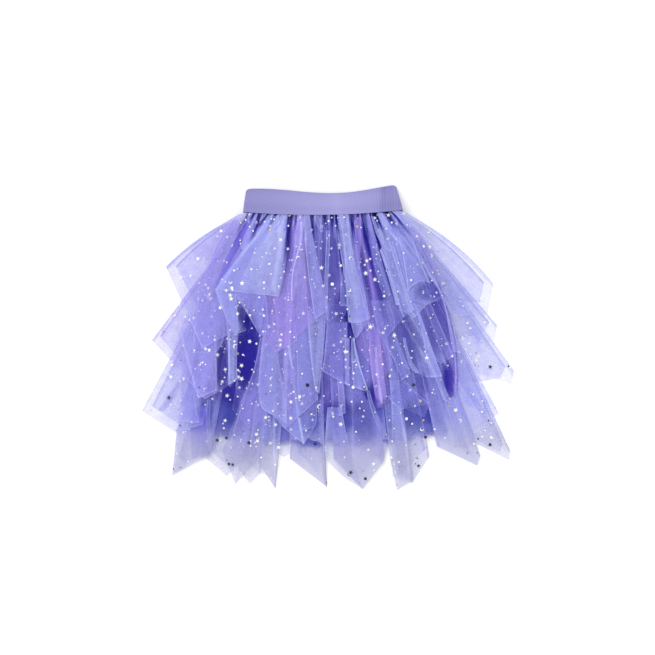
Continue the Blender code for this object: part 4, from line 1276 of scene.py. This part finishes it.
def feed(tree, wire, skin, socket):
    """Link a wire to one of the shader's sockets."""
    tree.links.new(wire.socket, skin.inputs[socket])


def emboss(tree, skin, height, strength, distance):
    """Feed a bump of this height, in shares of a distance in metres, to the shader."""
    inputs = {"Height": height, "Strength": strength, "Distance": distance}
    feed(tree, node(tree, "ShaderNodeBump", {}, inputs)[0], skin, "Normal")


def read_look(tree):
    """The four numbers kept on the cloth: density, paleness, violet and grey."""
    kept = node(tree, "ShaderNodeAttribute", {"attribute_name": "look"})
    return [*node(tree, "ShaderNodeSeparateColor", {}, {0: kept[0]})[:3], kept[3]]


def read_cut(tree):
    """Where a place lies on the cut cloth, in millimetres across and down."""
    uv = node(tree, "ShaderNodeUVMap", {"uv_map": "cut"})[0]
    across, down, _ = node(tree, "ShaderNodeSeparateXYZ", {}, {0: uv})
    return across * 1000.0, down * 1000.0


# %% [markdown]
# ## Tulle
# Tulle is mostly holes: light goes straight through the holes and is coloured by the threads. So its
# alpha is low, and it rises with the density kept on the cloth: where the cloth is squeezed together,
# folded double or seen along a crease, more threads lie behind each other. Alpha is
# 1 - (1 - thread) ^ density. A fine net of two crossing sets of threads breaks it up.

# %% Tulle material
THREAD = 0.30
NET_PERIOD = 1.6
DEEP_BLUE = (0.085, 0.080, 0.70, 1)
PERIWINKLE = (0.28, 0.29, 0.95, 1)
PALE_BLUE = (0.60, 0.65, 1.0, 1)
VIOLET = (0.52, 0.34, 0.95, 1)
GREY_LILAC = (0.52, 0.52, 0.66, 1)

tulle, tree, skin = new_material("star tulle", Roughness=0.7, Specular_IOR_Level=0.1, Sheen_Weight=0.05)
dense, pale, violet, grey = read_look(tree)
across, down = read_cut(tree)
net = (across + down).wave(NET_PERIOD) * (across - down).wave(NET_PERIOD)
cloud = noise(tree, 95.0, 4.0)
grain = noise(tree, 620.0, 1.0)
threads = dense * (0.50 + 1.00 * cloud) * (0.45 + 1.10 * grain) * (1 + 0.35 * net)
feed(tree, 1 - (1 - THREAD) ** threads, skin, "Alpha")
# The cloth's own tone with its painted highlights and painted shade, kept in the paleness, sets the colour
# between deep blue and pale blue.
shade = mix_colour(tree, pale.held(), DEEP_BLUE, PALE_BLUE)
blue = mix_colour(tree, 0.25, shade, PERIWINKLE)
tinted = mix_colour(tree, (violet ** 2 * 0.75).held(), blue, VIOLET)
feed(tree, mix_colour(tree, (grey * 0.75).held(), tinted, GREY_LILAC), skin, "Base Color")
emboss(tree, skin, grain * 0.5 + net * 0.5, 0.12, 0.0004)
for piece in TULLE:
    piece.data.materials.append(tulle)

# %% [markdown]
# ## Net, satin and elastic
# The net underskirt is plain deep blue, with its fold valleys painted darker as painted shade and its
# ridges paler as painted light. The satin is navy in its folds and violet with a soft shine on its
# ridges: navy as painted shade, violet as painted light and the shine as a painted highlight. The
# elastic is matt, with fine upright ribs; its colour is painted darker towards both ends and in a
# crease near its right end, and lighter near the middle, as painted shade and light.

# %% Net material
NET_THREAD = 0.26
# The valley and ridge colours are painted shade and painted light on the net's folds.
NET_SHADED_VALLEY = (0.045, 0.055, 0.40, 1)
NET_LIT_RIDGE = (0.12, 0.13, 0.58, 1)

net_cloth, tree, skin = new_material("blue net", Roughness=0.75, Specular_IOR_Level=0.1)
dense, fold, _, _ = read_look(tree)
across, down = read_cut(tree)
threads = dense * (0.8 + 0.4 * noise(tree, 30.0, 2.0)) + across.wave(1.8) * down.wave(1.8) * 0.1
feed(tree, 1 - (1 - NET_THREAD) ** threads, skin, "Alpha")
# The net's colour: painted shade in the fold valleys, painted light on the ridges.
feed(tree, mix_colour(tree, (fold * 0.8).held(), NET_SHADED_VALLEY, NET_LIT_RIDGE), skin, "Base Color")

# %% Satin material
# Valley and ridge colours are painted shade and painted light on the satin's folds; the shine is a painted
# highlight. The weave colour is the satin's own.
SATIN_SHADED_VALLEY = (0.012, 0.006, 0.27, 1)
SATIN_LIT_RIDGE = (0.25, 0.17, 0.66, 1)
SATIN_PAINTED_SHINE = (0.58, 0.46, 0.95, 1)
SATIN_WEAVE = (0.06, 0.03, 0.40, 1)
SATIN_PERIOD = 2 * math.pi / 9

satin, tree, skin = new_material("violet satin", Roughness=0.38, Specular_IOR_Level=0.1)
_, fold, _, _ = read_look(tree)
across, _ = read_cut(tree)
weave = across.wave(SATIN_PERIOD) * 0.5 + 0.5
# Painted shade in the fold valleys, painted light on the ridges, and a painted highlight along the ridge
# tops.
body = mix_colour(tree, (fold ** 2.2).held(), SATIN_SHADED_VALLEY, SATIN_LIT_RIDGE)
shiny = mix_colour(tree, (fold ** 9 * 0.9).held(), body, SATIN_PAINTED_SHINE)
feed(tree, mix_colour(tree, weave * 0.10, shiny, SATIN_WEAVE), skin, "Base Color")
feed(tree, (0.46 - 0.14 * fold).held(), skin, "Roughness")
emboss(tree, skin, weave, 0.08, 0.0003)
for piece in INNER:
    piece.data.materials.append(satin if "lining" in piece.name else net_cloth)

# %% Elastic material
BAND_DARK = (0.155, 0.15, 0.37, 1)
BAND_LIGHT = (0.37, 0.345, 0.67, 1)

elastic, tree, skin = new_material("ribbed elastic", Roughness=0.85, Specular_IOR_Level=0.2, Sheen_Weight=0.3)
_, painted_shading, _, _ = read_look(tree)
across, down = read_cut(tree)
rib = (across + down * 0.3).wave(2.1) * 0.5 + 0.5
knit = down.wave(0.8) * 0.5 + 0.5
# The band's colour: painted light and shade across it, plus the ribs and a little random tone.
lit = (0.62 * painted_shading + 0.34 * rib + 0.14 * noise(tree, 900.0, 2.0)).held()
feed(tree, mix_colour(tree, lit, BAND_DARK, BAND_LIGHT), skin, "Base Color")
emboss(tree, skin, rib * 0.7 + knit * 0.3, 0.35, 0.0005)
band.data.materials.append(elastic)

# %% Foil materials
FINISHES = {
    "silver": dict(Base_Color=(0.88, 0.88, 0.83, 1), Metallic=0.1, Roughness=0.5),
    # The dark finish is silver foil painted dark: painted shade on its shine.
    "dark": dict(Base_Color=(0.02, 0.025, 0.03, 1), Metallic=0.6, Roughness=0.35),
    "amber": dict(Base_Color=(0.58, 0.42, 0.25, 1), Metallic=0.5, Roughness=0.4),
}
for name, constants in FINISHES.items():
    foil_finish, _, _ = new_material(name + " foil", **constants)
    FOIL_PIECES[name].data.materials.append(foil_finish)

# %% [markdown]
# ## Floor, light and camera
# The skirt lies on a plain white surface under soft light from the upper left. The camera looks
# straight down. Many sheer layers lie on each other, so rays may pass more clear surfaces than usual.

# %% Floor and light
floor_mesh = bpy.data.meshes.new("floor")
floor_mesh.from_pydata([(-3, -3, 0), (3, -3, 0), (3, 3, 0), (-3, 3, 0)], [], [(0, 1, 2, 3)])
floor = add_object("floor", floor_mesh)
paper, _, _ = new_material("white surface", Base_Color=(0.98, 0.98, 0.98, 1), Roughness=0.9)
floor_mesh.materials.append(paper)

world = bpy.data.worlds.new("studio")
bpy.context.scene.world = world
world.use_nodes = True
sky = world.node_tree.nodes["Background"]
sky.inputs["Color"].default_value = (1.0, 1.0, 1.0, 1)
sky.inputs["Strength"].default_value = 0.80
key_data = bpy.data.lights.new("key", "SUN")
key_data.energy = 1.45
key_data.angle = math.radians(50)
key = add_object("key", key_data)
key.rotation_euler = (math.radians(-20), math.radians(-18), 0)

# %% Camera
CAMERA_HEIGHT = 3.0
FIELD = 0.8515
camera_data = bpy.data.cameras.new("camera")
camera_data.sensor_width = 36
camera_data.lens = camera_data.sensor_width * CAMERA_HEIGHT / FIELD
camera = add_object("camera", camera_data)
camera.location = (-0.00075, 0.0152, CAMERA_HEIGHT)
bpy.context.scene.camera = camera
bpy.context.scene.cycles.transparent_max_bounces = 48
bpy.context.scene.view_settings.view_transform = "Standard"

# %% [markdown]
# ## The cut of each piece of cloth
# The sizes are those of the half that the piece covers, and of the whole ring for the waistband.

# %% Sheets
def cloth_area(piece):
    """Sum of the piece's face areas in square metres."""
    area = np.empty(len(piece.data.polygons))
    piece.data.polygons.foreach_get("area", area)
    return float(area.sum())


Cut = namedtuple("Cut", "width length share held lies_on")
CUTS = {
    "sheer_tier_1_back": Cut(0.44, 0.16, 0.85, "gathered", ["floor"]),
    "sheer_tier_2_back": Cut(0.46, 0.22, 0.85, "gathered", ["sheer_tier_1_back"]),
    "sheer_tier_3_back": Cut(0.46, 0.28, 0.82, "gathered", ["sheer_tier_2_back"]),
    "sheer_tier_4_back": Cut(0.46, 0.33, 0.78, "gathered", ["sheer_tier_3_back"]),
    "soft_underskirt_back": Cut(0.34, 0.28, 0.85, "gathered", ["sheer_tier_4_back"]),
    "soft_lining_back": Cut(0.34, 0.235, 0.90, "gathered", ["soft_underskirt_back"]),
    "soft_lining_front": Cut(0.36, 0.24, 0.90, "gathered", ["soft_lining_back"]),
    "soft_underskirt_front": Cut(0.36, 0.29, 0.85, "gathered", ["soft_lining_front"]),
    "sheer_tier_4_front": Cut(0.60, 0.35, 0.78, "gathered", ["soft_underskirt_front"]),
    "sheer_tier_3_front": Cut(0.50, 0.29, 0.78, "gathered", ["sheer_tier_4_front"]),
    "sheer_tier_2_front": Cut(0.56, 0.26, 0.80, "gathered", ["sheer_tier_3_front"]),
    "sheer_tier_1_front": Cut(0.62, 0.19, 0.85, "gathered", ["sheer_tier_2_front"]),
    "elastic_waistband": Cut(0.41, 0.03, 1.0, "laid", ["floor"]),
}
for piece in [*TULLE, *INNER, band]:
    cut = CUTS[piece.name]
    flat_area = cut.width * cut.length * cut.share
    print(piece.name, "cloth", round(cloth_area(piece), 4), "m2, cut flat", round(flat_area, 4), "m2")
bpy.context.view_layer.update()
